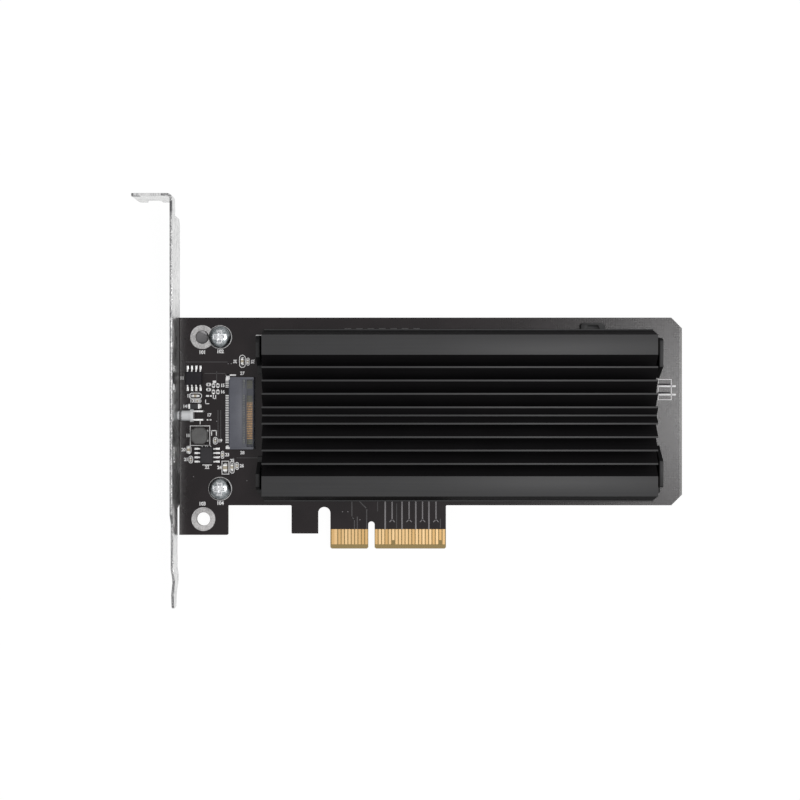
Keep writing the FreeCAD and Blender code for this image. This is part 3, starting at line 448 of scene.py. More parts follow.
@dataclass(frozen=True)
class SpangleFinish:
    """Galvanised sheet: soft crystals of slightly different grey, a rolled grain, and painted
    shade.
    """

    light: Colour = (0.79, 0.79, 0.785)
    dark: Colour = (0.35, 0.355, 0.36)
    # painted shade on the tabs that lie under the board
    tab_shade: Colour = (0.11, 0.105, 0.106)
    shade: Colour = (0.09, 0.09, 0.094)
    tab_room: float = 1.0
    tip_length: float = 2.6
    tip_height: float = 14.0
    flange_length: float = 6.0
    neck_foot: float = 5.4
    neck_top: float = 2.3
    flat_normal: float = 0.93
    shade_rise: tuple[float, float] = (4.0, 18.0)
    shade_fall: tuple[float, float] = (62.0, 78.0)
    shade_front: tuple[float, float] = (5.0, 16.0)

    def material(self) -> bpy.types.Material:
        """The bracket's material, with its stretches of painted shade.

        Returns:
            The material.
        """
        low, high = box_mm("slot_bracket")
        tip_x = low.x + self.tip_length
        graph = Graph("zinc_plated_sheet")
        place = graph.place_mm()
        x, y, z = graph.axes(place)
        facing_x, facing_y, facing_z = graph.facing()
        warped = graph.vector("ADD", {0: place, 1: graph.cells(place, 0.9)})
        crystal = graph.axes(graph.cells(warped, 0.7))[0]
        rolled = graph.noise(graph.stretch(place, (3.2, 0.08, 3.2)), 1.3, detail=4.0, roughness=0.7)
        speck = graph.noise(place, 5.0, detail=3.0, roughness=0.7)
        tone = crystal * 0.16 + rolled * 0.62 + speck * 0.22
        colour = graph.mix(tone.step(0.34, 0.56), self.dark, self.light)
        # painted shade: the tabs under the board take the dark tab colour
        shaded_under_board = x.above(box_mm("circuit_board")[0].x + self.tab_room)
        colour = graph.mix(shaded_under_board, colour, self.tab_shade)
        # painted shade on the eased edges, between the flat and the upright faces
        crease_shade = facing_z.between(0.25, self.flat_normal) * (0.35 + rolled * 0.5)
        fleck = graph.noise(graph.stretch(place, (1.0, 0.5, 1.0)), 5.5, detail=3.0, roughness=0.7)
        # painted shade, in streaks, on the cut edges of the plate that face up
        plate = x.above(tip_x + self.flange_length)
        edge = facing_z.above(self.flat_normal) * plate * fleck.step(0.36, 0.56) * 0.8
        # painted shade on the inner face beside the board, standing for the board's dark
        # reflection; weaker towards the front
        inner_face_shade = facing_x.step(0.3, 0.9) * (1.0 - z.step(*self.shade_front) * 0.5)
        beside_board = y.step(*self.shade_rise) * (1.0 - y.step(*self.shade_fall))
        beside = inner_face_shade * beside_board * (0.45 + rolled * 0.2)
        colour = graph.mix(crease_shade + edge + beside, colour, self.shade)
        # painted shade on the faces at the flange's tip that look towards the edge contacts, and on
        # the neck's upward faces near the top
        tip = x.below(tip_x) * facing_y.below(-0.5) * z.above(self.tip_height)
        neck = y.between(high.y - self.neck_foot, high.y - self.neck_top) * facing_z.above(0.5)
        colour = graph.mix((tip + neck) * 0.85, colour, self.shade)
        gloss = 0.22 + crystal * 0.06 + rolled * 0.10
        height = rolled * 0.6 + speck * 0.4
        return graph.surface(Base_Color=colour, Metallic=1.0, Roughness=gloss,
                             Normal=graph.bump(height, depth_mm=0.006, strength=0.5))


@dataclass(frozen=True)
class ScrewFinish:
    """Zinc-plated screws: a bluish head, with a painted highlight in the cross recess."""

    light: Colour = (0.46, 0.49, 0.50)
    dark: Colour = (0.20, 0.22, 0.23)
    # painted highlight for the cross recess
    recess_highlight: Colour = (0.74, 0.75, 0.76)
    gloss: float = 0.22
    arm_share: float = 0.58
    half_share: float = 0.24

    def material(self, name: str, places: list[tuple[float, float]], radius: float
                 ) -> bpy.types.Material:
        """The screws' material.

        Args:
            name: the material's name.
            places: the screws' axes, in metres.
            radius: the head's radius, in metres.

        Returns:
            The material.
        """
        graph = Graph(name)
        place = graph.place_mm()
        x, y, _ = graph.axes(place)
        grain = graph.noise(place, 1.4, detail=4.0, roughness=0.65)
        ragged = (graph.noise(place, 2.4, detail=3.0, roughness=0.7) - 0.5) * 1.3
        arm, half = radius / MM * self.arm_share, radius / MM * self.half_share
        # painted highlight: each screw's cross recess takes the light colour
        lit_recess = 0.0
        for axis_x, axis_y in places:
            across, along = abs(x - axis_x / MM) + ragged, abs(y - axis_y / MM) + ragged
            lit_recess = across.below(arm) * along.below(half) + lit_recess
            lit_recess = along.below(arm) * across.below(half) + lit_recess
        colour = graph.mix(grain.step(0.35, 0.65), self.dark, self.light)
        colour = graph.mix(lit_recess.above(0.5), colour, self.recess_highlight)
        return graph.surface(Base_Color=colour, Metallic=1.0, Roughness=self.gloss + grain * 0.1,
                             Normal=graph.bump(grain, depth_mm=0.02, strength=0.6))


@dataclass(frozen=True)
class AnodisedFinish:
    """A black skin: satin tops painted lighter, and dull walls and slopes in painted shade."""

    name: str = "black_anodised"
    # painted shade: the walls and slopes get far darker colours than the faces that look up, which
    # get a lighter lit tone
    shaded_wall_dark: Colour = (0.0045, 0.0042, 0.0046)
    shaded_wall_light: Colour = (0.0085, 0.0080, 0.0086)
    lit_top_dark: Colour = (0.031, 0.031, 0.032)
    lit_top_light: Colour = (0.041, 0.041, 0.042)
    gloss: float = 0.44
    line: Point = (0.02, 2.6, 2.6)

    def material(self) -> bpy.types.Material:
        """The skin's material.

        Returns:
            The material.
        """
        graph = Graph(self.name)
        place = graph.place_mm()
        lines = graph.noise(graph.stretch(place, self.line), 1.6, detail=4.0, roughness=0.6)
        speck = graph.noise(place, 6.0, detail=3.0, roughness=0.75)
        cloud = graph.noise(place, 0.08)
        tone = (lines * 0.5 + speck * 0.3 + cloud * 0.2).step(0.3, 0.7)
        gloss = self.gloss + (lines - 0.5) * 0.14 + (speck - 0.5) * 0.10
        height = graph.bump(lines * 0.5 + speck * 0.5, depth_mm=0.006, strength=0.6)
        # lit and shaded copies of one skin: the faces that look up are painted lighter, the walls
        # and slopes darker
        lit_top_shader = graph.shader(Base_Color=graph.mix(tone, self.lit_top_dark, self.lit_top_light),
                             Roughness=gloss, Specular_IOR_Level=0.34, Normal=height)
        dull = graph.shader(Base_Color=graph.mix(tone, self.shaded_wall_dark, self.shaded_wall_light),
                            Roughness=0.8, Specular_IOR_Level=0.06, Normal=height)
        return graph.split(graph.facing()[2].step(0.72, 0.9), dull, lit_top_shader)


@dataclass(frozen=True)
class MouldedFinish:
    """Moulded plastic or a pressed compound, with fine spark-eroded texture."""

    name: str
    base: Colour
    tint: Colour
    gloss: float = 0.5
    texture_mm: float = 0.22
    bump_mm: float = 0.010
    specular: float = 0.5

    def material(self) -> bpy.types.Material:
        """The moulding's material.

        Returns:
            The material.
        """
        graph = Graph(self.name)
        place = graph.place_mm()
        texture = graph.noise(place, 1.0 / self.texture_mm, detail=3.0, roughness=0.6)
        cloud = graph.noise(place, 0.3, detail=3.0)
        colour = graph.mix((texture * 0.5 + cloud * 0.5).step(0.3, 0.7), self.base, self.tint)
        gloss = self.gloss + (texture - 0.5) * 0.2 + (cloud - 0.5) * 0.1
        return graph.surface(Base_Color=colour, Roughness=gloss,
                             Specular_IOR_Level=self.specular,
                             Normal=graph.bump(texture, self.bump_mm, strength=0.6))


@dataclass(frozen=True)
class ChipFinish:
    """A chip part: a ceramic or moulded body between two tinned ends."""

    name: str
    body: Colour
    body_tint: Colour
    end: Colour = (0.88, 0.88, 0.87)
    end_share: float = 0.25
    end_room: float = 0.06
    gloss: float = 0.45
    end_gloss: float = 0.32

    def material(self, node: str) -> bpy.types.Material:
        """The chip's material.

        Args:
            node: the chip's node.

        Returns:
            The material.
        """
        middle, size = middle_and_size(node)
        axis = 1 if size.y > size.x else 0
        graph = Graph(f"{self.name}_{node}")
        place = graph.place_mm()
        grain = graph.noise(place, 7.0, detail=3.0, roughness=0.6)
        ragged = abs(graph.axes(place)[axis] - middle[axis] / MM) + grain * 0.12
        tinned = ragged.above(size[axis] / MM * (0.5 - self.end_share) + self.end_room)
        body = graph.mix(grain.step(0.35, 0.65), self.body, self.body_tint)
        colour = graph.mix(tinned, body, self.end)
        gloss = graph.blend(tinned, self.gloss + grain * 0.1, self.end_gloss + grain * 0.1)
        return graph.surface(Base_Color=colour, Metallic=tinned, Roughness=gloss,
                             Normal=graph.bump(grain, depth_mm=0.012, strength=0.6))


@dataclass(frozen=True)
class GoldFinish:
    """Gold plating over nickel on the edge contacts, with faint wear along the strokes."""

    light: Colour = (0.75, 0.52, 0.27)
    dark: Colour = (0.57, 0.36, 0.15)
    pitch: float = 1.0

    def material(self) -> bpy.types.Material:
        """The plating's material, with a tone of its own for each contact.

        Returns:
            The material.
        """
        graph = Graph("gold_plating")
        place = graph.place_mm()
        number = (graph.axes(place)[0] / self.pitch).floor()
        own = graph.node("ShaderNodeTexWhiteNoise", {"noise_dimensions": "1D"}, {"W": number})
        wear = graph.noise(graph.stretch(place, (7.0, 0.5, 1.0)), 1.0, detail=4.0, roughness=0.6)
        speck = graph.noise(place, 5.0, detail=3.0, roughness=0.6)
        tone = own * 0.55 + wear * 0.3 + speck * 0.15
        colour = graph.mix(tone.step(0.15, 0.8), self.dark, self.light)
        return graph.surface(Base_Color=colour, Metallic=0.9, Roughness=0.34 + wear * 0.14,
                             Normal=graph.bump(wear, depth_mm=0.003, strength=0.5))


@dataclass(frozen=True)
class ClearFinish:
    """Clear moulded epoxy with faint flow clouding and a dark cup inside."""

    clear: Colour = (1.0, 1.0, 1.0)
    clouded: Colour = (0.90, 0.93, 0.95)
    cup: Colour = (0.20, 0.20, 0.205)
    cup_start: float = 1.1
    cup_end: float = 1.8

    def material(self) -> bpy.types.Material:
        """The lens's material.

        Returns:
            The material.
        """
        tip_x = box_mm("light_lens")[0].x
        graph = Graph("clear_epoxy")
        place = graph.place_mm()
        flow = graph.noise(graph.stretch(place, (0.4, 1.5, 1.5)), 1.2)
        cup = graph.axes(place)[0] + (flow - 0.5) * 0.4
        cup = cup.between(tip_x + self.cup_start, tip_x + self.cup_end)
        colour = graph.mix(cup * 0.9, graph.mix(flow, self.clear, self.clouded), self.cup)
        return graph.surface(Base_Color=colour, Transmission_Weight=0.2, IOR=1.5,
                             Roughness=0.05 + flow * 0.06,
                             Normal=graph.bump(flow, depth_mm=0.01, strength=0.3))


@dataclass(frozen=True)
class InkFinish:
    """White legend ink, a little uneven where the print is thin."""

    white: Colour = (0.95, 0.95, 0.945)
    thin: Colour = (0.80, 0.79, 0.80)

    def material(self) -> bpy.types.Material:
        """The ink's material.

        Returns:
            The material.
        """
        graph = Graph("legend_ink")
        speck = graph.noise(graph.place_mm(), 3.2, detail=4.0, roughness=0.7)
        colour = graph.mix(speck.step(0.38, 0.52), self.thin, self.white)
        return graph.surface(Base_Color=colour, Roughness=0.55 + speck * 0.15,
                             Normal=graph.bump(speck, depth_mm=0.006, strength=0.5))


class Tin(Enum):
    """How bright a soldered or tinned surface is."""

    BRIGHT = "bright_tin"
    DULL = "dull_tin"
    RING = "ring_tin"
    LEG = "leg_tin"


TIN_FINISHES = {
    Tin.BRIGHT: MetalFinish("bright_tin", light=(0.93, 0.93, 0.92), dark=(0.70, 0.70, 0.70),
                            gloss=0.28, gloss_spread=0.16, grain_mm=0.3),
    Tin.DULL: MetalFinish("dull_tin", light=(0.72, 0.72, 0.71), dark=(0.55, 0.55, 0.55),
                          gloss=0.42, gloss_spread=0.14, grain_mm=0.3),
    Tin.RING: MetalFinish("ring_tin", light=(0.60, 0.59, 0.585), dark=(0.27, 0.265, 0.265),
                          gloss=0.42, gloss_spread=0.2, grain_mm=0.42, bump_mm=0.014),
    # the legs' sloping faces carry a painted shade
    Tin.LEG: MetalFinish("leg_tin", light=(0.93, 0.93, 0.92), dark=(0.70, 0.70, 0.70),
                         gloss=0.28, gloss_spread=0.16, grain_mm=0.3, slope_shade=(0.10, 0.10, 0.10)),
}


# ------------------------------------------------------------------- modelling


UPWARDS, DOWNWARDS = 1.0, -1.0
CLEARLY_FACING = 0.9
EASED_ANGLE = math.radians(30.0)
EASED_SMOOTHING = math.radians(35.0)
ROUND_CORNERS = 20
PRINT_SPREAD = 0.035
PRINT_SPACING = 0.92


def select_only(*pieces: bpy.types.Object) -> None:
    """Selects these objects alone and makes the first one active.

    Args:
        pieces: the objects.
    """
    bpy.ops.object.select_all(action="DESELECT")
    for piece in pieces:
        piece.select_set(True)
    bpy.context.view_layer.objects.active = pieces[0]


def settle(piece: bpy.types.Object) -> bpy.types.Object:
    """Puts an object's place, turn and size into its mesh.

    Args:
        piece: the object.

    Returns:
        The same object.
    """
    select_only(piece)
    bpy.ops.object.transform_apply(location=True, rotation=True, scale=True)
    return piece


def begin(primitive: Callable, scale: Point = (1.0, 1.0, 1.0), **settings: Any
          ) -> bpy.types.Object:
    """Adds a primitive to start a piece from.

    Args:
        primitive: the operator that adds it.
        scale: how many times its own size it is along each axis.
        settings: the operator's settings.

    Returns:
        The primitive, with its place, turn and size in its mesh.
    """
    bpy.ops.object.select_all(action="DESELECT")
    primitive(**settings)
    piece = bpy.context.active_object
    piece.scale = scale
    return settle(piece)


def edit(piece: bpy.types.Object, corners: bool = False, action: str = "SELECT") -> None:
    """Opens an object in edit mode.

    Args:
        piece: the object.
        corners: whether corners are what is selected, and not faces.
        action: whether all of them are selected at first, or none.
    """
    select_only(piece)
    bpy.ops.object.mode_set(mode="EDIT")
    bpy.ops.mesh.select_mode(type="VERT" if corners else "FACE")
    bpy.ops.mesh.select_all(action=action)


def pick(piece: bpy.types.Object, chosen: Callable[[Any], bool], corners: bool = False) -> None:
    """Opens edit mode with only what a test picks selected.

    Args:
        piece: the object.
        chosen: the test, of a face or of a corner.
        corners: whether corners are picked, and not faces.
    """
    edit(piece, corners, "DESELECT")
    bpy.ops.object.mode_set(mode="OBJECT")
    for item in piece.data.vertices if corners else piece.data.polygons:
        item.select = chosen(item)
    bpy.ops.object.mode_set(mode="EDIT")


def close_edit() -> None:
    """Leaves edit mode, with doubles merged and faces turned outwards."""
    bpy.ops.mesh.select_all(action="SELECT")
    bpy.ops.mesh.remove_doubles(threshold=1e-7)
    bpy.ops.mesh.normals_make_consistent(inside=False)
    bpy.ops.object.mode_set(mode="OBJECT")


def draw_out(move: Point | Vector) -> None:
    """Extrudes the selected faces along a move."""
    bpy.ops.mesh.extrude_region_move(TRANSFORM_OT_translate={"value": tuple(move)})


def raise_faces(thickness: float) -> None:
    """Extrudes the selected faces straight up, or down where the thickness is negative."""
    draw_out((0.0, 0.0, thickness))


def narrow(share: float) -> None:
    """Scales what is selected along X and Y."""
    bpy.ops.transform.resize(value=(share, share, 1.0))


def bevel_edges(piece: bpy.types.Object, width: float, angle: float | None = None) -> None:
    """Rounds an object's edges with two faces each.

    Args:
        piece: the object.
        width: how far in from an edge the rounding starts.
        angle: only edges that turn by more than this are rounded, in radians.
    """
    select_only(piece)
    rounding = piece.modifiers.new("edges", "BEVEL")
    rounding.width = width
    rounding.segments = 2
    if angle is not None:
        rounding.limit_method = "ANGLE"
        rounding.angle_limit = angle
    bpy.ops.object.modifier_apply(modifier=rounding.name)


def twins(piece: bpy.types.Object, places: list[Point | Vector]) -> list[bpy.types.Object]:
    """Copies a piece modelled at the origin to each place, and takes the piece itself away.

    Args:
        piece: the piece.
        places: where the copies go.

    Returns:
        The copies, each with its own mesh.
    """
    copies = []
    for place in places:
        copy = piece.copy()
        copy.data = piece.data.copy()
        bpy.context.scene.collection.objects.link(copy)
        copy.location = place
        copies.append(settle(copy))
    bpy.data.objects.remove(piece)
    return copies


def join(name: str, pieces: list[bpy.types.Object]) -> bpy.types.Object:
    """Joins several objects into one.

    Args:
        name: what the joined object is called.
        pieces: the objects.

    Returns:
        The joined object.
    """
    select_only(*pieces)
    if len(pieces) > 1:
        bpy.ops.object.join()
    piece = bpy.context.view_layer.objects.active
    piece.name = name
    piece.data.name = name
    return piece


def dress(piece: bpy.types.Object, material: bpy.types.Material) -> None:
    """Gives a new piece its material and its ride on the part.

    Args:
        piece: the piece.
        material: its material.
    """
    piece.data.materials.clear()
    piece.data.materials.append(material)
    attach(piece, "root")
    LOG.info("%s: %d faces", piece.name, len(piece.data.polygons))


def dress_node(node: str, material: bpy.types.Material) -> None:
    """Gives a CAD node its material in every slot.

    Args:
        node: the node.
        material: its material.
    """
    mesh = frame["nodes"][node].data
    if not mesh.materials:
        mesh.materials.append(material)
    for index in range(len(mesh.materials)):
        mesh.materials[index] = material


def strip(middle: Point, length: float, width: float, thickness: float,
          turn: float = 0.0) -> bpy.types.Object:
    """A flat bar that lies on a surface.

    Args:
        middle: the middle of its underside.
        length: its size along X before it is turned.
        width: its size along Y before it is turned.
        thickness: its height.
        turn: its angle about the vertical, in radians.

    Returns:
        The bar.
    """
    piece = begin(bpy.ops.mesh.primitive_plane_add, (length, width, 1.0), size=1.0,
                  location=middle, rotation=(0.0, 0.0, turn))
    edit(piece)
    raise_faces(thickness)
    close_edit()
    return piece


def hollow_out(piece: bpy.types.Object, line: float, thickness: float) -> bpy.types.Object:
    """Turns a flat face into a raised outline.

    Args:
        piece: the flat face.
        line: the width of the outline's line.
        thickness: its height.

    Returns:
        The outline.
    """
    edit(piece)
    bpy.ops.mesh.inset(thickness=line)
    bpy.ops.mesh.delete(type="FACE")
    bpy.ops.mesh.select_all(action="SELECT")
    raise_faces(thickness)
    close_edit()
    return piece


def pill(middle: Point, width: float, height: float, line: float,
         thickness: float) -> bpy.types.Object:
    """A raised outline with round ends that lies on a surface.

    Args:
        middle: the middle of its underside.
        width: its outer size along X.
        height: its outer size along Y.
        line: the width of its line.
        thickness: its height.

    Returns:
        The outline.
    """
    radius = min(width, height) / 2.0
    axis = Vector((0.0, 1.0, 0.0)) if height > width else Vector((1.0, 0.0, 0.0))
    spread = axis * (max(width, height) / 2.0 - radius)
    piece = begin(bpy.ops.mesh.primitive_circle_add, vertices=ROUND_CORNERS, radius=radius,
                  fill_type="NGON", location=middle)
    for side in (1.0, -1.0):
        pick(piece, lambda corner: (corner.co - Vector(middle)).dot(axis) * side > 0.0,
             corners=True)
        bpy.ops.transform.translate(value=tuple(spread * side))
        bpy.ops.object.mode_set(mode="OBJECT")
    return hollow_out(piece, line, thickness)


def frame_box(middle: Point, width: float, height: float, line: float,
              thickness: float) -> bpy.types.Object:
    """A raised rectangular outline that lies on a surface.

    Args:
        middle: the middle of its underside.
        width: its outer size along X.
        height: its outer size along Y.
        line: the width of its line.
        thickness: its height.

    Returns:
        The outline.
    """
    piece = begin(bpy.ops.mesh.primitive_plane_add, (width, height, 1.0), size=1.0,
                  location=middle)
    return hollow_out(piece, line, thickness)


def mound(foot: float, length: float, width: float, thickness: float,
          taper: float = 0.72) -> bpy.types.Object:
    """A low solder mound on the Z axis: a flat pad drawn up and in, with softened edges.

    Args:
        foot: the height of the surface that it lies on.
        length: its size along X.
        width: its size along Y.
        thickness: its height.
        taper: its top's size as a share of its foot's.

    Returns:
        The mound.
    """
    piece = strip((0.0, 0.0, foot), length, width, thickness)
    half_way = foot + thickness * 0.5
    pick(piece, lambda face: face.center.z > half_way and face.normal.z > 0.5)
    narrow(taper)
    close_edit()
    bevel_edges(piece, thickness * 0.3)
    return piece


def number_mark(digits: int, middle: Point, size: float, thickness: float,
                turn: float = 0.0) -> bpy.types.Object:
    """A plain printed number, centred on a point of the board.

    Args:
        digits: the number.
        middle: the middle of its underside.
        size: the height of its line of print.
        thickness: how thick the ink is.
        turn: its angle about the vertical, in radians.

    Returns:
        The number as a mesh.
    """
    bpy.ops.object.select_all(action="DESELECT")
    bpy.ops.object.text_add(location=(middle[0], middle[1], middle[2] + thickness / 2.0),
                            rotation=(0.0, 0.0, turn))
    text = bpy.context.active_object.data
    text.body = str(digits)
    text.size = size
    text.align_x = "CENTER"
    text.align_y = "CENTER"
    text.resolution_u = 2
    text.offset = size * PRINT_SPREAD
    text.space_character = PRINT_SPACING
    text.extrude = thickness / 2.0
    bpy.ops.object.convert(target="MESH")
    return settle(bpy.context.active_object)


def ease(node: str, width: float) -> None:
    """Makes a copy of a CAD node with its sharp edges eased, which stands for the node.

    Args:
        node: the CAD node.
        width: how far in from an edge the easing starts.
    """
    source = frame["nodes"][node]
    piece = source.copy()
    piece.data = source.data.copy()
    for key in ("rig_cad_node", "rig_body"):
        if key in piece:
            del piece[key]
    piece.parent = None
    bpy.context.scene.collection.objects.link(piece)
    piece.name = f"{node}_eased"
    edit(piece)
    bpy.ops.mesh.remove_doubles(threshold=1e-6)
    bpy.ops.mesh.customdata_custom_splitnormals_clear()
    bpy.ops.mesh.dissolve_limited(angle_limit=math.radians(0.5))
    close_edit()
    bevel_edges(piece, width, EASED_ANGLE)
    bpy.ops.object.shade_smooth_by_angle(angle=EASED_SMOOTHING)
    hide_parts(node)
    dress(piece, finish_of(node))


# ---------------------------------------------------------------- sub-assemblies


class Side(Enum):
    """The side of its piece on which a printed number stands."""

    LEFT = (-1.0, 0.0)
    RIGHT = (1.0, 0.0)
    ABOVE = (0.0, 1.0)
    BELOW = (0.0, -1.0)


@dataclass(frozen=True)
class Outline:
    """A printed outline round some parts of one size, with its room in millimetres."""

    nodes: tuple[str, ...]
    beside: float
    past: float
    square: bool = False


OUTLINES = (
    Outline(("capacitor_1", "capacitor_3"), beside=0.56, past=1.13),
    Outline(("capacitor_2", "capacitor_4", "capacitor_8", "capacitor_11"), beside=0.25, past=0.66),
    Outline(("capacitor_6", "capacitor_7"), beside=0.42, past=0.60),
    Outline(tuple(f"resistor_{number}" for number in range(1, 7)), beside=0.24, past=0.26),
    Outline(("capacitor_5",), beside=0.36, past=0.46),
    Outline(("capacitor_10",), beside=0.34, past=1.03),
    Outline(("capacitor_9",), beside=0.49, past=1.02, square=True),
    Outline(("inductor_core",), beside=0.55, past=0.55, square=True),
)

NUMBERED_PIECES = (
    ("clock_chip_case", Side.LEFT), ("capacitor_3", Side.LEFT), ("capacitor_4", Side.LEFT),
    ("diode", Side.LEFT), ("resistor_5", Side.RIGHT), ("resistor_6", Side.RIGHT),
    ("resistor_7", Side.ABOVE), ("inductor_core", Side.LEFT), ("capacitor_7", Side.RIGHT),
    ("capacitor_5", Side.LEFT), ("capacitor_6", Side.LEFT), ("power_chip_case", Side.BELOW),
    ("capacitor_8", Side.RIGHT), ("capacitor_9", Side.LEFT), ("capacitor_10", Side.ABOVE),
    ("capacitor_11", Side.RIGHT), ("socket_housing", Side.ABOVE), ("socket_housing", Side.BELOW),
)


@dataclass
class Board:
    """The circuit board's face: legend ink, copper tracks and through-plated dots.

    Sizes are in metres. The tracks' widths, and the places of tracks, dots and signs, are in
    millimetres.
    """

    ink: bpy.types.Material
    track: bpy.types.Material
    faint: bpy.types.Material
    dark: bpy.types.Material
    face: float
    line: float = 0.19 * MM
    ink_thickness: float = 0.025 * MM
    track_thickness: float = 0.03 * MM
    hole_digits: float = 1.5 * MM
    part_digits: float = 1.35 * MM
    hole_room: float = 0.95 * MM
    part_room: float = 1.15 * MM
    screw_head: float = 6.66 * MM
    ring_size: float = 7.1 * MM
    dot_size: float = 0.3 * MM
    track_foot: float = 5.9
    track_top: float = 14.2
    fork: float = 8.7
    prong: float = 0.7
    through_width: float = 0.42
    fork_width: float = 0.336
    prong_width: float = 0.252
    bent_width: float = 0.3
    faint_width: float = 0.2
    through_tracks: tuple[float, ...] = (4.1, 9.1, 13.2, 17.1)
    forked_tracks: tuple[float, ...] = (6.15, 11.2, 15.2, 19.2)
    edge_row: tuple[float, ...] = (-7.0, -3.6, -0.2, 3.2, 6.6, 10.0, 13.4)
    edge_row_y: float = 65.4
    edge_dash: tuple[float, float] = (2.0 * MM, 0.3 * MM)
    far_frame_place: tuple[float, float] = (87.2, 47.3)
    far_frame_size: tuple[float, float] = (4.1 * MM, 6.2 * MM)
    far_slot_x: float = 87.0
    far_slot_rows: tuple[float, ...] = (48.85, 46.35)
    far_slot_size: tuple[float, float] = (3.6 * MM, 0.45 * MM)
    far_bars: tuple[float, ...] = (48.3, 45.8)
    case_ring: float = 1.25 * MM
    case_ring_shifts: tuple[float, float] = (-0.95, 0.6)
    marks: list[bpy.types.Object] = field(default_factory=list)

    def build(self) -> None:
        """Prints the legend and lays the tracks."""
        self.print_outlines()
        self.print_numbers()
        self.print_signs()
        dress(join("legend", self.marks), self.ink)
        self.lay_tracks()
        self.lay_faint_tracks()
        self.lay_dots()

    def at(self, x: float, y: float) -> Point:
        """A point on the component face, from millimetres."""
        return (x * MM, y * MM, self.face)

    def print_outlines(self) -> None:
        """Prints the outlines round the chips, the inductor and at the far end."""
        for outline in OUTLINES:
            shape = frame_box if outline.square else pill
            for node in outline.nodes:
                middle, size = middle_and_size(node)
                beside, past = 2.0 * outline.beside * MM, 2.0 * outline.past * MM
                grow_x, grow_y = (beside, past) if size.y > size.x else (past, beside)
                self.marks.append(shape((middle.x, middle.y, self.face), size.x + grow_x,
                                        size.y + grow_y, self.line, self.ink_thickness))
        self.marks.append(frame_box(self.at(*self.far_frame_place), *self.far_frame_size,
                                    self.line, self.ink_thickness))

    def print_numbers(self) -> None:
        """Prints a plain running number beside each hole and part."""
        screws, screws_size = middle_and_size("bracket_screws")
        rings_low, rings_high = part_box("mounting_rings")
        spare_x = rings_low.x + self.ring_size / 2.0
        screw_reach = screws_size.y / 2.0
        holes = ((spare_x, rings_high.y - self.ring_size - self.hole_room),
                 (screws.x, screws.y + screw_reach - self.screw_head - self.hole_room),
                 (spare_x, rings_low.y + self.ring_size + self.hole_room),
                 (screws.x, screws.y - screw_reach - self.hole_room))
        for count, (x, y) in enumerate(holes, start=101):
            self.print_number(count, x, y, self.hole_digits)
        for count, (node, side) in enumerate(NUMBERED_PIECES, start=11):
            middle, size = middle_and_size(node)
            across, along = side.value
            self.print_number(count, middle.x + across * (size.x / 2.0 + self.part_room),
                              middle.y + along * (size.y / 2.0 + self.part_room),
                              self.part_digits)
        for count, (node, shift) in enumerate((("capacitor_1", -2.1), ("capacitor_2", 1.45)), 31):
            middle, _ = middle_and_size(node)
            self.print_number(count, middle.x + shift * MM, middle.y, self.part_digits,
                              QUARTER_TURN)

    def print_number(self, count: int, x: float, y: float, size: float,
                     turn: float = 0.0) -> None:
        """Prints one number."""
        self.marks.append(number_mark(count, (x, y, self.face), size, self.ink_thickness, turn))

    def print_signs(self) -> None:
        """Prints the short bars, corners and blocks, and the rings above the power chip."""
        socket_low, socket_high = box_mm("socket_housing")
        case_low, case_high = box_mm("power_chip_case")
        diode_low, diode_high = box_mm("diode")
        case_x = (case_low.x + case_high.x) / 2.0
        bars = [
            (socket_low.x + 0.3, socket_high.y + 0.65, 3.0, 0.45),
            (socket_low.x - 0.6, socket_high.y + 0.35, 1.1, 1.05),
            (socket_low.x - 0.6, socket_low.y + 0.6, 0.95, 1.05),
            (diode_high.x + 0.1, (diode_low.y + diode_high.y) / 2.0, 0.28, 1.45),
            (case_x, case_low.y - 0.45, 2.8, 0.26), (-50.9, 37.45, 0.25, 1.0),
            (-33.3, 63.4, 2.1, 0.33), (-49.3, 43.65, 0.22, 1.3), (-48.8, 43.1, 1.2, 0.22),
            (-48.7, 45.4, 0.9, 0.5), (-47.7, 45.4, 0.5, 0.5), (-47.0, 45.1, 0.25, 1.2),
            (-46.3, 45.1, 0.25, 1.2), (-46.65, 44.6, 0.9, 0.25), (-46.8, 35.1, 1.8, 0.25),
            (-47.5, 34.4, 0.25, 1.6), (-46.1, 34.4, 0.25, 1.6), (-46.65, 49.6, 1.0, 0.7),
        ]
        bars += [(87.6, y, 5.8, 0.52) for y in self.far_bars]
        for x, y, wide, tall in bars:
            self.marks.append(strip(self.at(x, y), wide * MM, tall * MM, self.ink_thickness))
        slot = strip(self.at(self.far_slot_x, 0.0), *self.far_slot_size, self.track_thickness)
        slots = twins(slot, [(0.0, y * MM, 0.0) for y in self.far_slot_rows])
        dress(join("far_slots", slots), self.dark)
        ring = pill(self.at(0.0, 0.0), self.case_ring, self.case_ring, self.line,
                    self.ink_thickness)
        self.marks += twins(ring, [((case_x + shift) * MM, case_high.y * MM, 0.0)
                                   for shift in self.case_ring_shifts])

    def lay(self, runs: list[Run], width: float) -> list[bpy.types.Object]:
        """Lays straight tracks, whose ends overlap so that bent tracks have no gaps.

        Args:
            runs: the X and Y of each track's start and then of its end, in mm.
            width: their width in mm.

        Returns:
            The tracks.
        """
        tracks = []
        for start_x, start_y, end_x, end_y in runs:
            along = Vector((end_x - start_x, end_y - start_y))
            middle = self.at((start_x + end_x) / 2.0, (start_y + end_y) / 2.0)
            tracks.append(strip(middle, (along.length + width) * MM, width * MM,
                                self.track_thickness, math.atan2(along.y, along.x)))
        return tracks

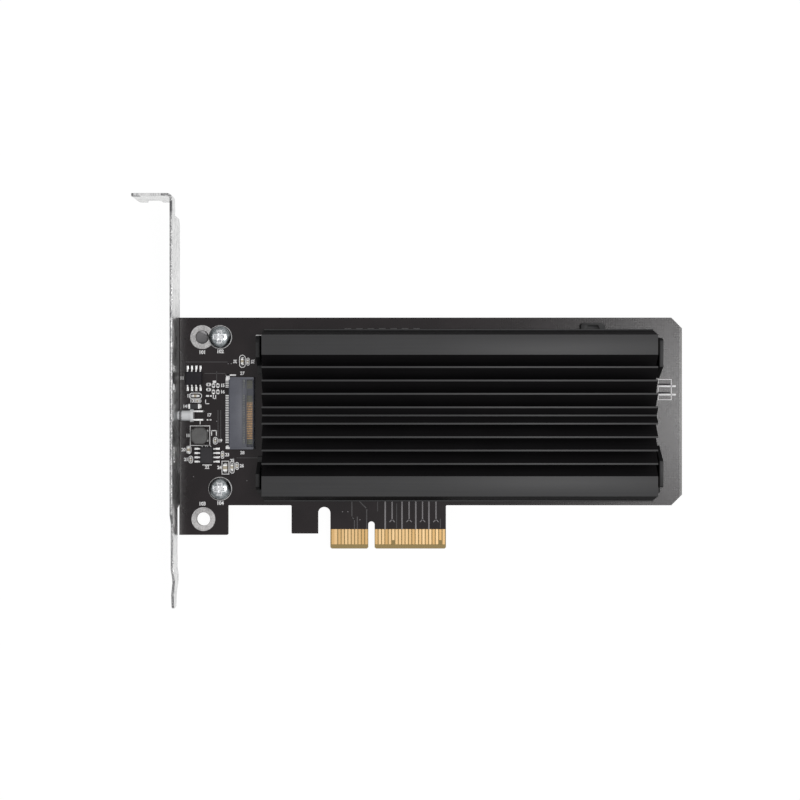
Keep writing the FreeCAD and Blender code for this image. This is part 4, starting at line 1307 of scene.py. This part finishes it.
    def lay_tracks(self) -> None:
        """Lays the tracks that show through the solder mask above the contacts."""
        through = self.lay([(0.0, self.track_foot, 0.0, self.track_top)], self.through_width)
        fork = self.lay([(0.0, self.fork, 0.0, self.track_top)], self.fork_width)
        fork += self.lay([(0.0, self.fork, side, self.fork - self.prong)
                          for side in (-self.prong, self.prong)], self.prong_width)
        tracks = []
        for track, places in ((through, self.through_tracks), (fork, self.forked_tracks)):
            tracks += twins(join("track", track), [(x * MM, 0.0, 0.0) for x in places])
        dress(join("tracks", tracks), self.track)

    def lay_faint_tracks(self) -> None:
        """Lays the narrow tracks that hardly show, and the row at the upper edge."""
        foot, top = self.track_foot, self.track_top
        tracks = self.lay([(-45.6, 32.6, -45.6, 41.1), (-44.8, 32.6, -44.8, 41.1),
                           (-46.0, 50.2, -46.0, 52.6), (1.85, 11.2, 1.85, top),
                           (7.5, 6.2, 7.5, 13.3), (20.5, 6.2, 20.5, 8.8),
                           (-55.0, 55.5, -42.8, 55.5), (-49.5, 52.1, -43.5, 52.1),
                           (-40.0, 27.0, -32.6, 27.0)], self.faint_width)
        tracks += self.lay([(-5.8, top, -5.8, 9.4), (-5.8, 9.4, -5.05, 8.7),
                            (-5.05, 8.7, -5.05, foot), (-4.2, 9.4, -4.2, foot),
                            (-3.7, top, -1.4, 11.9), (-1.4, 11.9, -1.4, foot)],
                           self.bent_width)
        dash = strip(self.at(0.0, self.edge_row_y), *self.edge_dash, self.track_thickness)
        tracks += twins(dash, [(x * MM, 0.0, 0.0) for x in self.edge_row])
        dress(join("faint_tracks", tracks), self.faint)

    def lay_dots(self) -> None:
        """Sets the small through-plated dots."""
        places = ((-42.6, 55.0), (-41.7, 55.0), (-33.4, 19.0), (-33.4, 22.4), (-8.6, 11.0),
                  (-7.0, 11.0), (-3.4, 8.6), (-52.9, 21.4), (-46.0, 37.9), (-37.0, 20.2))
        dot = mound(self.face, self.dot_size, self.dot_size, self.track_thickness)
        dots = twins(dot, [(x * MM, y * MM, 0.0) for x, y in places])
        dress(join("plated_dots", dots), self.track)


@dataclass
class Solder:
    """Solder at the chips' ends and under the legs."""

    tin: bpy.types.Material
    face: float
    thickness: float = 0.07 * MM
    large_chip: float = 1.2 * MM
    large_reach: float = 0.42 * MM
    small_reach: float = 0.24 * MM
    fillet_overlap: float = 1.15
    fillet_width: float = 1.05
    fillet_height: float = 0.45
    fillet_taper: float = 0.62
    pad_taper: float = 0.85
    leg_count: int = 4
    leg_pitch: float = 1.27 * MM
    leg_pad: tuple[float, float] = (1.2 * MM, 0.66 * MM)
    leg_pad_out: float = 0.2 * MM
    tail_pitch: float = 0.5 * MM
    tail_pad: tuple[float, float] = (0.45 * MM, 0.24 * MM)
    tail_in: float = 0.3 * MM
    key_gap: range = range(29, 34)
    hold_pad: tuple[float, float] = (1.2 * MM, 0.9 * MM)
    hold_in: float = 0.4 * MM
    hold_taper: float = 0.9

    def build(self) -> None:
        """Adds the solder of every soldered part."""
        self.solder_chips()
        self.solder_legs("clock_chip_legs", along_y=False)
        self.solder_legs("power_chip_legs", along_y=True)
        self.solder_tails()

    def solder_chips(self) -> None:
        """Puts a sloped fillet at each end of each chip part."""
        fillets = []
        for node in frame["nodes"]:
            if not node.startswith(("capacitor", "resistor", "diode")):
                continue
            middle, size = middle_and_size(node)
            large = max(size) > self.large_chip
            reach = self.large_reach if large else self.small_reach
            long, wide = reach * self.fillet_overlap, min(size.xy) * self.fillet_width
            out = (max(size.xy) + reach) / 2.0
            along_y = size.y > size.x
            fillet = mound(self.face, wide if along_y else long, long if along_y else wide,
                           size.z * self.fillet_height, self.fillet_taper)
            shift = Vector((0.0, out) if along_y else (out, 0.0))
            fillets += twins(fillet, [(middle.xy + sign * shift).to_3d() for sign in (-1.0, 1.0)])
        dress(join("chip_solder", fillets), self.tin)

    def solder_legs(self, node: str, along_y: bool) -> None:
        """Puts a pad under and beyond each leg's toe.

        Args:
            node: the legs.
            along_y: whether the two rows of legs run along Y.
        """
        middle, size = middle_and_size(node)
        reach = (size.x if along_y else size.y) / 2.0 + self.leg_pad_out
        long, wide = self.leg_pad
        pad = mound(self.face, long if along_y else wide, wide if along_y else long,
                    self.thickness, self.pad_taper)
        places = []
        for row in (-1.0, 1.0):
            for leg in range(self.leg_count):
                shift = (leg - (self.leg_count - 1) / 2.0) * self.leg_pitch
                out_x, out_y = (row * reach, shift) if along_y else (shift, row * reach)
                places.append((middle.x + out_x, middle.y + out_y, 0.0))
        dress(join(f"{node}_solder", twins(pad, places)), self.tin)

    def solder_tails(self) -> None:
        """Puts a pad under each tail of the socket and under its hold-downs."""
        low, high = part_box("socket_tails")
        count = round((high.y - low.y) / self.tail_pitch) + 1
        first_y = low.y + self.tail_pad[1] / 2.0
        pad = mound(self.face, *self.tail_pad, self.thickness, self.pad_taper)
        pads = twins(pad, [(low.x + self.tail_in, first_y + index * self.tail_pitch, 0.0)
                           for index in range(count) if index not in self.key_gap])
        low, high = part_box("socket_hold_downs")
        foot = mound(self.face, *self.hold_pad, self.thickness, self.hold_taper)
        pads += twins(foot, [(low.x + self.tail_in, y, 0.0)
                             for y in (low.y + self.hold_in, high.y - self.hold_in)])
        dress(join("tail_solder", pads), self.tin)


@dataclass
class PanScrews:
    """Pan-head screws with a cross recess, modelled in place of the plain solids.

    The dome's rings are shares of the head's radius and of the height above its rim.
    """

    node: str
    head_radius: float
    head_height: float
    face: float
    sign: float = UPWARDS
    shank_radius: float = 1.45 * MM
    rim: float = 0.35
    dome: tuple[tuple[float, float], ...] = ((0.965, 0.26), (0.86, 0.55), (0.66, 0.80),
                                             (0.36, 0.95), (0.1, 1.0))
    recess_arm: float = 0.58
    recess_half: float = 0.17
    recess_depth: float = 0.55
    recess_top: float = 1.1

    def build(self) -> None:
        """Makes one screw and copies it to each solid's place."""
        metal = ScrewFinish().material(f"{self.node}_zinc", self.places(), self.head_radius)
        screws = twins(self.screw(), [(x, y, 0.0) for x, y in self.places()])
        piece = join(f"{self.node}_turned", screws)
        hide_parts(self.node)
        dress(piece, metal)
        dress_node(self.node, metal)

    def places(self) -> list[tuple[float, float]]:
        """The screws' axes: the corners of the node's box, moved in by the head's radius.

        Returns:
            Their X and Y.
        """
        low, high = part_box(self.node)
        xs, ys = (sorted({round(least + self.head_radius, 6), round(most - self.head_radius, 6)})
                  for least, most in ((low.x, high.x), (low.y, high.y)))
        return [(x, y) for x in xs for y in ys]

    def screw(self) -> bpy.types.Object:
        """One screw on the Z axis: a domed head with a cross recess, on a plain shank.

        Returns:
            The screw.
        """
        height = self.sign * self.head_height
        piece = begin(bpy.ops.mesh.primitive_cylinder_add, vertices=2 * ROUND_CORNERS,
                      radius=self.head_radius,
                      depth=self.head_height * self.rim,
                      location=(0.0, 0.0, self.face + height * self.rim / 2.0))
        pick(piece, lambda face: face.normal.z * self.sign > CLEARLY_FACING)
        at_level, at_radius = self.rim, 1.0
        for radius, share in self.dome:
            level = self.rim + (1.0 - self.rim) * share
            raise_faces((level - at_level) * height)
            narrow(radius / at_radius)
            at_level, at_radius = level, radius
        close_edit()
        self.add_shank(piece)
        self.cut_recess(piece)
        bpy.ops.object.shade_smooth_by_angle(angle=math.radians(32.0))
        return piece

    def add_shank(self, piece: bpy.types.Object) -> None:
        """Draws the shank out of the head's underside, to the end of the node's box.

        Args:
            piece: the head.
        """
        low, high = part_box(self.node)
        end = low.z if self.sign == UPWARDS else high.z
        pick(piece, lambda face: face.normal.z * self.sign < -CLEARLY_FACING)
        bpy.ops.mesh.inset(thickness=self.head_radius - self.shank_radius)
        raise_faces(end - self.face)
        close_edit()

    def cut_recess(self, piece: bpy.types.Object) -> None:
        """Cuts the cross recess with a tapered four-armed punch.

        Args:
            piece: the screw.
        """
        arm, half = self.head_radius * self.recess_arm, self.head_radius * self.recess_half
        top = self.face + self.sign * self.head_height * self.recess_top
        punch = begin(bpy.ops.mesh.primitive_plane_add, size=2.0 * half, location=(0.0, 0.0, top))
        edit(punch)
        raise_faces(-self.sign * self.head_height * self.recess_depth)
        close_edit()
        for turn in range(4):
            outward = Vector((round(math.cos(turn * QUARTER_TURN)),
                              round(math.sin(turn * QUARTER_TURN)), 0.0))
            sideways = Vector((-outward.y, outward.x, 0.0))
            pick(punch, lambda face: face.normal.dot(outward) > CLEARLY_FACING
                 and abs(face.center.dot(sideways)) < half * 0.5)
            draw_out(outward * (arm - half))
            close_edit()
        pick(punch, lambda face: face.normal.z * self.sign < -CLEARLY_FACING)
        narrow(0.5)
        close_edit()
        select_only(piece)
        cutting = piece.modifiers.new("recess", "BOOLEAN")
        cutting.operation = "DIFFERENCE"
        cutting.object = punch
        cutting.solver = "EXACT"
        bpy.ops.object.modifier_apply(modifier=cutting.name)
        bpy.data.objects.remove(punch)
        select_only(piece)


@dataclass
class Light:
    """The metal frame inside the clear lens: a post with its cup and a second post."""

    metal: bpy.types.Material
    frame_start: float = 0.46
    post_spread: float = 0.62 * MM
    post_size: tuple[float, float] = (0.55 * MM, 0.5 * MM)
    second_start: float = 0.35 * MM
    tip_inset: float = 0.08 * MM
    tip_lean: tuple[float, float] = (0.25 * MM, 0.22 * MM)
    cup_radii: tuple[float, float] = (0.62 * MM, 0.36 * MM)
    cup_length: float = 0.5 * MM
    cup_wall: float = 0.1 * MM
    cup_depth: float = 0.3 * MM

    def build(self) -> None:
        """Makes the two posts and the cup, inside the lens."""
        low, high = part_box("light_lens")
        middle, size = middle_and_size("light_lens")
        start_x = low.x + size.x * self.frame_start
        parts = []
        for side, later in ((1.0, 0.0), (-1.0, self.second_start)):
            length = high.x - start_x - later
            parts.append(self.post((high.x - length / 2.0, middle.y + side * self.post_spread,
                                    middle.z), length, side))
        parts.append(self.cup((start_x - self.cup_length / 2.0, middle.y, middle.z)))
        dress(join("light_frame", parts), self.metal)

    def post(self, middle: Point, length: float, side: float) -> bpy.types.Object:
        """One post, whose tip leans in towards the lens's axis.

        Args:
            middle: the middle of its straight part.
            length: that part's length.
            side: 1 above the axis and -1 below it.

        Returns:
            The post.
        """
        post = begin(bpy.ops.mesh.primitive_cube_add, (length, *self.post_size), size=1.0,
                     location=middle)
        pick(post, lambda face: face.normal.x < -CLEARLY_FACING)
        bpy.ops.mesh.inset(thickness=self.tip_inset)
        raise_faces(0.0)
        out, inwards = self.tip_lean
        bpy.ops.transform.translate(value=(-out, -side * inwards, 0.0))
        close_edit()
        return post

    def cup(self, middle: Point) -> bpy.types.Object:
        """The cup that holds the light's crystal, open towards the tip.

        Args:
            middle: its middle.

        Returns:
            The cup.
        """
        wide, slim = self.cup_radii
        cup = begin(bpy.ops.mesh.primitive_cone_add, vertices=ROUND_CORNERS, radius1=wide,
                    radius2=slim, depth=self.cup_length, location=middle,
                    rotation=(0.0, QUARTER_TURN, 0.0))
        pick(cup, lambda face: face.normal.x < -CLEARLY_FACING)
        bpy.ops.mesh.inset(thickness=self.cup_wall)
        draw_out((self.cup_depth, 0.0, 0.0))
        bpy.ops.transform.resize(value=(1.0, 0.6, 0.6))
        close_edit()
        return cup


@dataclass(frozen=True)
class Softbox:
    """A rectangular softbox that faces straight down: its place, sides and power in watts."""

    name: str
    place: Point
    sides: tuple[float, float]
    power: float


@dataclass
class Stage:
    """The floor, the soft studio lights and the camera."""

    eye: Point = (8.5 * MM, 44.2 * MM, 532.785 * MM)
    view_degrees: float = 25.2
    clip: tuple[float, float] = (0.01, 50.0)
    floor_size: float = 12.0
    floor_dark: Colour = (0.80, 0.80, 0.80)
    floor_light: Colour = (0.82, 0.82, 0.82)
    glow_strength: float = 1.03
    glow_share: float = 0.94
    zenith: Colour = (0.86, 0.855, 0.86)
    horizon: Colour = (0.30, 0.30, 0.305)
    softboxes: tuple[Softbox, ...] = (
        Softbox("far_softbox", place=(0.357, 0.035, 1.00), sides=(0.285, 0.20), power=1.85),
        Softbox("core_softbox", place=(0.357, 0.046, 0.99), sides=(0.285, 0.06), power=0.70),
    )

    def build(self) -> None:
        """Sets out the floor, the room, the softboxes and the camera."""
        self.lay_floor()
        self.light_room()
        for softbox in self.softboxes:
            self.hang(softbox)
        self.stand_camera()

    def lay_floor(self) -> None:
        """Lays a plain white floor just under the part."""
        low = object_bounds()[0]
        bpy.ops.object.select_all(action="DESELECT")
        bpy.ops.mesh.primitive_plane_add(size=self.floor_size,
                                         location=(self.eye[0], self.eye[1], low[2]))
        floor = bpy.context.active_object
        floor.name = "floor"
        graph = Graph("white_floor")
        speck = graph.noise(graph.place_mm(), 0.5)
        paint = graph.shader(Base_Color=graph.mix(speck, self.floor_dark, self.floor_light),
                             Roughness=0.85)
        glow = graph.node("ShaderNodeEmission", sockets={"Color": (1.0, 1.0, 1.0),
                                                         "Strength": self.glow_strength})
        seen = sum((graph.node("ShaderNodeLightPath", output=ray) for ray in
                    ("Is Camera Ray", "Is Glossy Ray", "Is Transmission Ray")), 0.0)
        floor.data.materials.append(graph.split(seen.above(0.5) * self.glow_share, paint, glow))
        floor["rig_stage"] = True

    def light_room(self) -> None:
        """Fills the room with even light that fades towards the horizon."""
        graph = Graph("studio", room=True)
        height = graph.axes(graph.node("ShaderNodeTexCoord", output="Generated"))[2]
        colour = graph.mix(height.step(0.0, 1.0), self.horizon, self.zenith)
        sky = graph.node("ShaderNodeBackground", sockets={"Color": colour, "Strength": 1.0})
        bpy.context.scene.world = graph.finish(sky, "ShaderNodeOutputWorld")

    def hang(self, softbox: Softbox) -> None:
        """Hangs one softbox.

        Args:
            softbox: what it is and where it hangs.
        """
        lamp = bpy.data.lights.new(softbox.name, "AREA")
        lamp.shape = "RECTANGLE"
        lamp.size, lamp.size_y = softbox.sides
        lamp.energy = softbox.power
        self.put(lamp, softbox.place)

    def stand_camera(self) -> None:
        """Stands the camera straight above the card."""
        camera = bpy.data.cameras.new("camera")
        camera.angle = math.radians(self.view_degrees)
        camera.clip_start, camera.clip_end = self.clip
        bpy.context.scene.camera = self.put(camera, self.eye)

    def put(self, data: bpy.types.ID, place: Point) -> bpy.types.Object:
        """Puts a lamp or a camera in its place.

        Args:
            data: the lamp or camera.
            place: where it goes; it faces straight down there.

        Returns:
            The object that holds it.
        """
        holder = bpy.data.objects.new(data.name, data)
        holder.location = place
        bpy.context.scene.collection.objects.link(holder)
        return holder


# ------------------------------------------------------------------------- main


Tins = dict[Tin, bpy.types.Material]
SCREW_NODES = ("bracket_screws", "heat_sink_screws")
EASED_NODES = {"slot_bracket": 0.09 * MM, "heat_sink": 0.06 * MM, "upper_rail": 0.05 * MM,
               "lower_rail": 0.05 * MM, "socket_housing": 0.05 * MM}
CHIP_STYLES = {
    "capacitor": ChipFinish("ceramic", body=(0.40, 0.35, 0.26), body_tint=(0.54, 0.48, 0.37)),
    "resistor": ChipFinish("resistor", body=(0.02, 0.02, 0.022), body_tint=(0.035, 0.035, 0.038)),
    "diode": ChipFinish("diode_body", body=(0.018, 0.018, 0.02), body_tint=(0.03, 0.03, 0.032),
                        end_share=0.15),
}


def node_finishes(tins: Tins) -> dict[str, bpy.types.Material]:
    """Makes the finishes of the CAD nodes other than the small chip parts.

    Args:
        tins: the tinned materials by brightness.

    Returns:
        The material of each node.
    """
    gold = GoldFinish().material()
    # the rails take the same split, with painted shade on their walls and slopes
    rail = AnodisedFinish("black_moulding", shaded_wall_dark=(0.010, 0.010, 0.0105),
                          shaded_wall_light=(0.018, 0.018, 0.0185), lit_top_dark=(0.014, 0.014, 0.0145),
                          lit_top_light=(0.022, 0.022, 0.0225), gloss=0.46,
                          line=(1.4, 1.4, 1.4)).material()
    own = {
        "socket_upper_contacts": MetalFinish("plated_springs", light=(0.30, 0.31, 0.29),
                                             dark=(0.14, 0.145, 0.135), gloss=0.4),
        "circuit_board": BoardFinish(),
        "slot_bracket": SpangleFinish(),
        "heat_sink": AnodisedFinish(),
        "thermal_pad": MouldedFinish("pad_silicone", base=(0.20, 0.24, 0.29),
                                     tint=(0.26, 0.30, 0.35), gloss=0.8),
        "drive_standoff": MetalFinish("turned_brass", light=(0.80, 0.62, 0.30),
                                      dark=(0.62, 0.45, 0.2), gloss=0.3),
        "socket_housing": MouldedFinish("socket_moulding", base=(0.076, 0.080, 0.100),
                                        tint=(0.104, 0.109, 0.132), gloss=0.42),
        "socket_lower_contacts": SpringFinish(),
        "light_lens": ClearFinish(),
        "inductor_core": MouldedFinish("pressed_powder", base=(0.085, 0.085, 0.083),
                                       tint=(0.14, 0.14, 0.137), gloss=0.6, texture_mm=0.3,
                                       bump_mm=0.02),
        "clock_chip_case": MouldedFinish("clock_case", base=(0.012, 0.011, 0.014),
                                         tint=(0.020, 0.018, 0.023), specular=0.22),
        "power_chip_case": MouldedFinish("power_case", base=(0.022, 0.021, 0.024),
                                         tint=(0.034, 0.032, 0.036), specular=0.3),
    }
    shared = {
        gold: ("edge_contacts_front", "edge_contacts_back"),
        rail: ("upper_rail", "lower_rail"),
        tins[Tin.RING]: ("mounting_rings",),
        tins[Tin.LEG]: ("clock_chip_legs", "power_chip_legs"),
        tins[Tin.DULL]: ("lead_joints",),
        tins[Tin.BRIGHT]: ("socket_tails", "socket_hold_downs", "light_leads",
                           "inductor_terminals"),
    }
    finishes = {node: finish.material() for node, finish in own.items()}
    for material, nodes in shared.items():
        finishes.update(dict.fromkeys(nodes, material))
    return finishes


def dress_nodes(tins: Tins) -> None:
    """Gives every CAD node its finish, except the screws, which PanScrews dresses.

    Args:
        tins: the tinned materials by brightness.
    """
    finishes = node_finishes(tins)
    for node in frame["nodes"]:
        if node in SCREW_NODES:
            continue
        kind = node.split("_")[0]
        material = finishes.get(node) or CHIP_STYLES[kind].material(node)
        dress_node(node, material)
        LOG.info("%s: %s", node, material.name)


def fix_screws(board_low: Vector) -> None:
    """Models the bracket's screws and those that hold the heat sink.

    Args:
        board_low: the board's lowest corner.
    """
    front, back = SCREW_NODES
    ring_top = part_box("mounting_rings")[1].z
    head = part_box(front)[1].z - ring_top
    PanScrews(front, 3.33 * MM, head, ring_top).build()
    head = board_low.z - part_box(back)[0].z
    PanScrews(back, 2.75 * MM, head, board_low.z, sign=DOWNWARDS).build()


def main() -> None:
    """Builds the looks, piece by piece."""
    logging.basicConfig(level=logging.INFO, format="%(message)s")
    bpy.context.scene.view_settings.view_transform = "Standard"
    board_low, board_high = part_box("circuit_board")
    tins = {kind: finish.material() for kind, finish in TIN_FINISHES.items()}
    dress_nodes(tins)
    track = MouldedFinish("masked_copper", base=(0.175, 0.166, 0.171),
                          tint=(0.250, 0.238, 0.246), gloss=0.3).material()
    faint = MouldedFinish("buried_copper", base=(0.040, 0.037, 0.039),
                          tint=(0.070, 0.066, 0.069), gloss=0.3).material()
    Board(InkFinish().material(), track, faint, finish_of("clock_chip_case"),
          board_high.z).build()
    Solder(tins[Tin.BRIGHT], board_high.z).build()
    fix_screws(board_low)
    Light(tins[Tin.BRIGHT]).build()
    for node, width in EASED_NODES.items():
        ease(node, width)
    Stage().build()


if __name__ == "__main__":
    main()
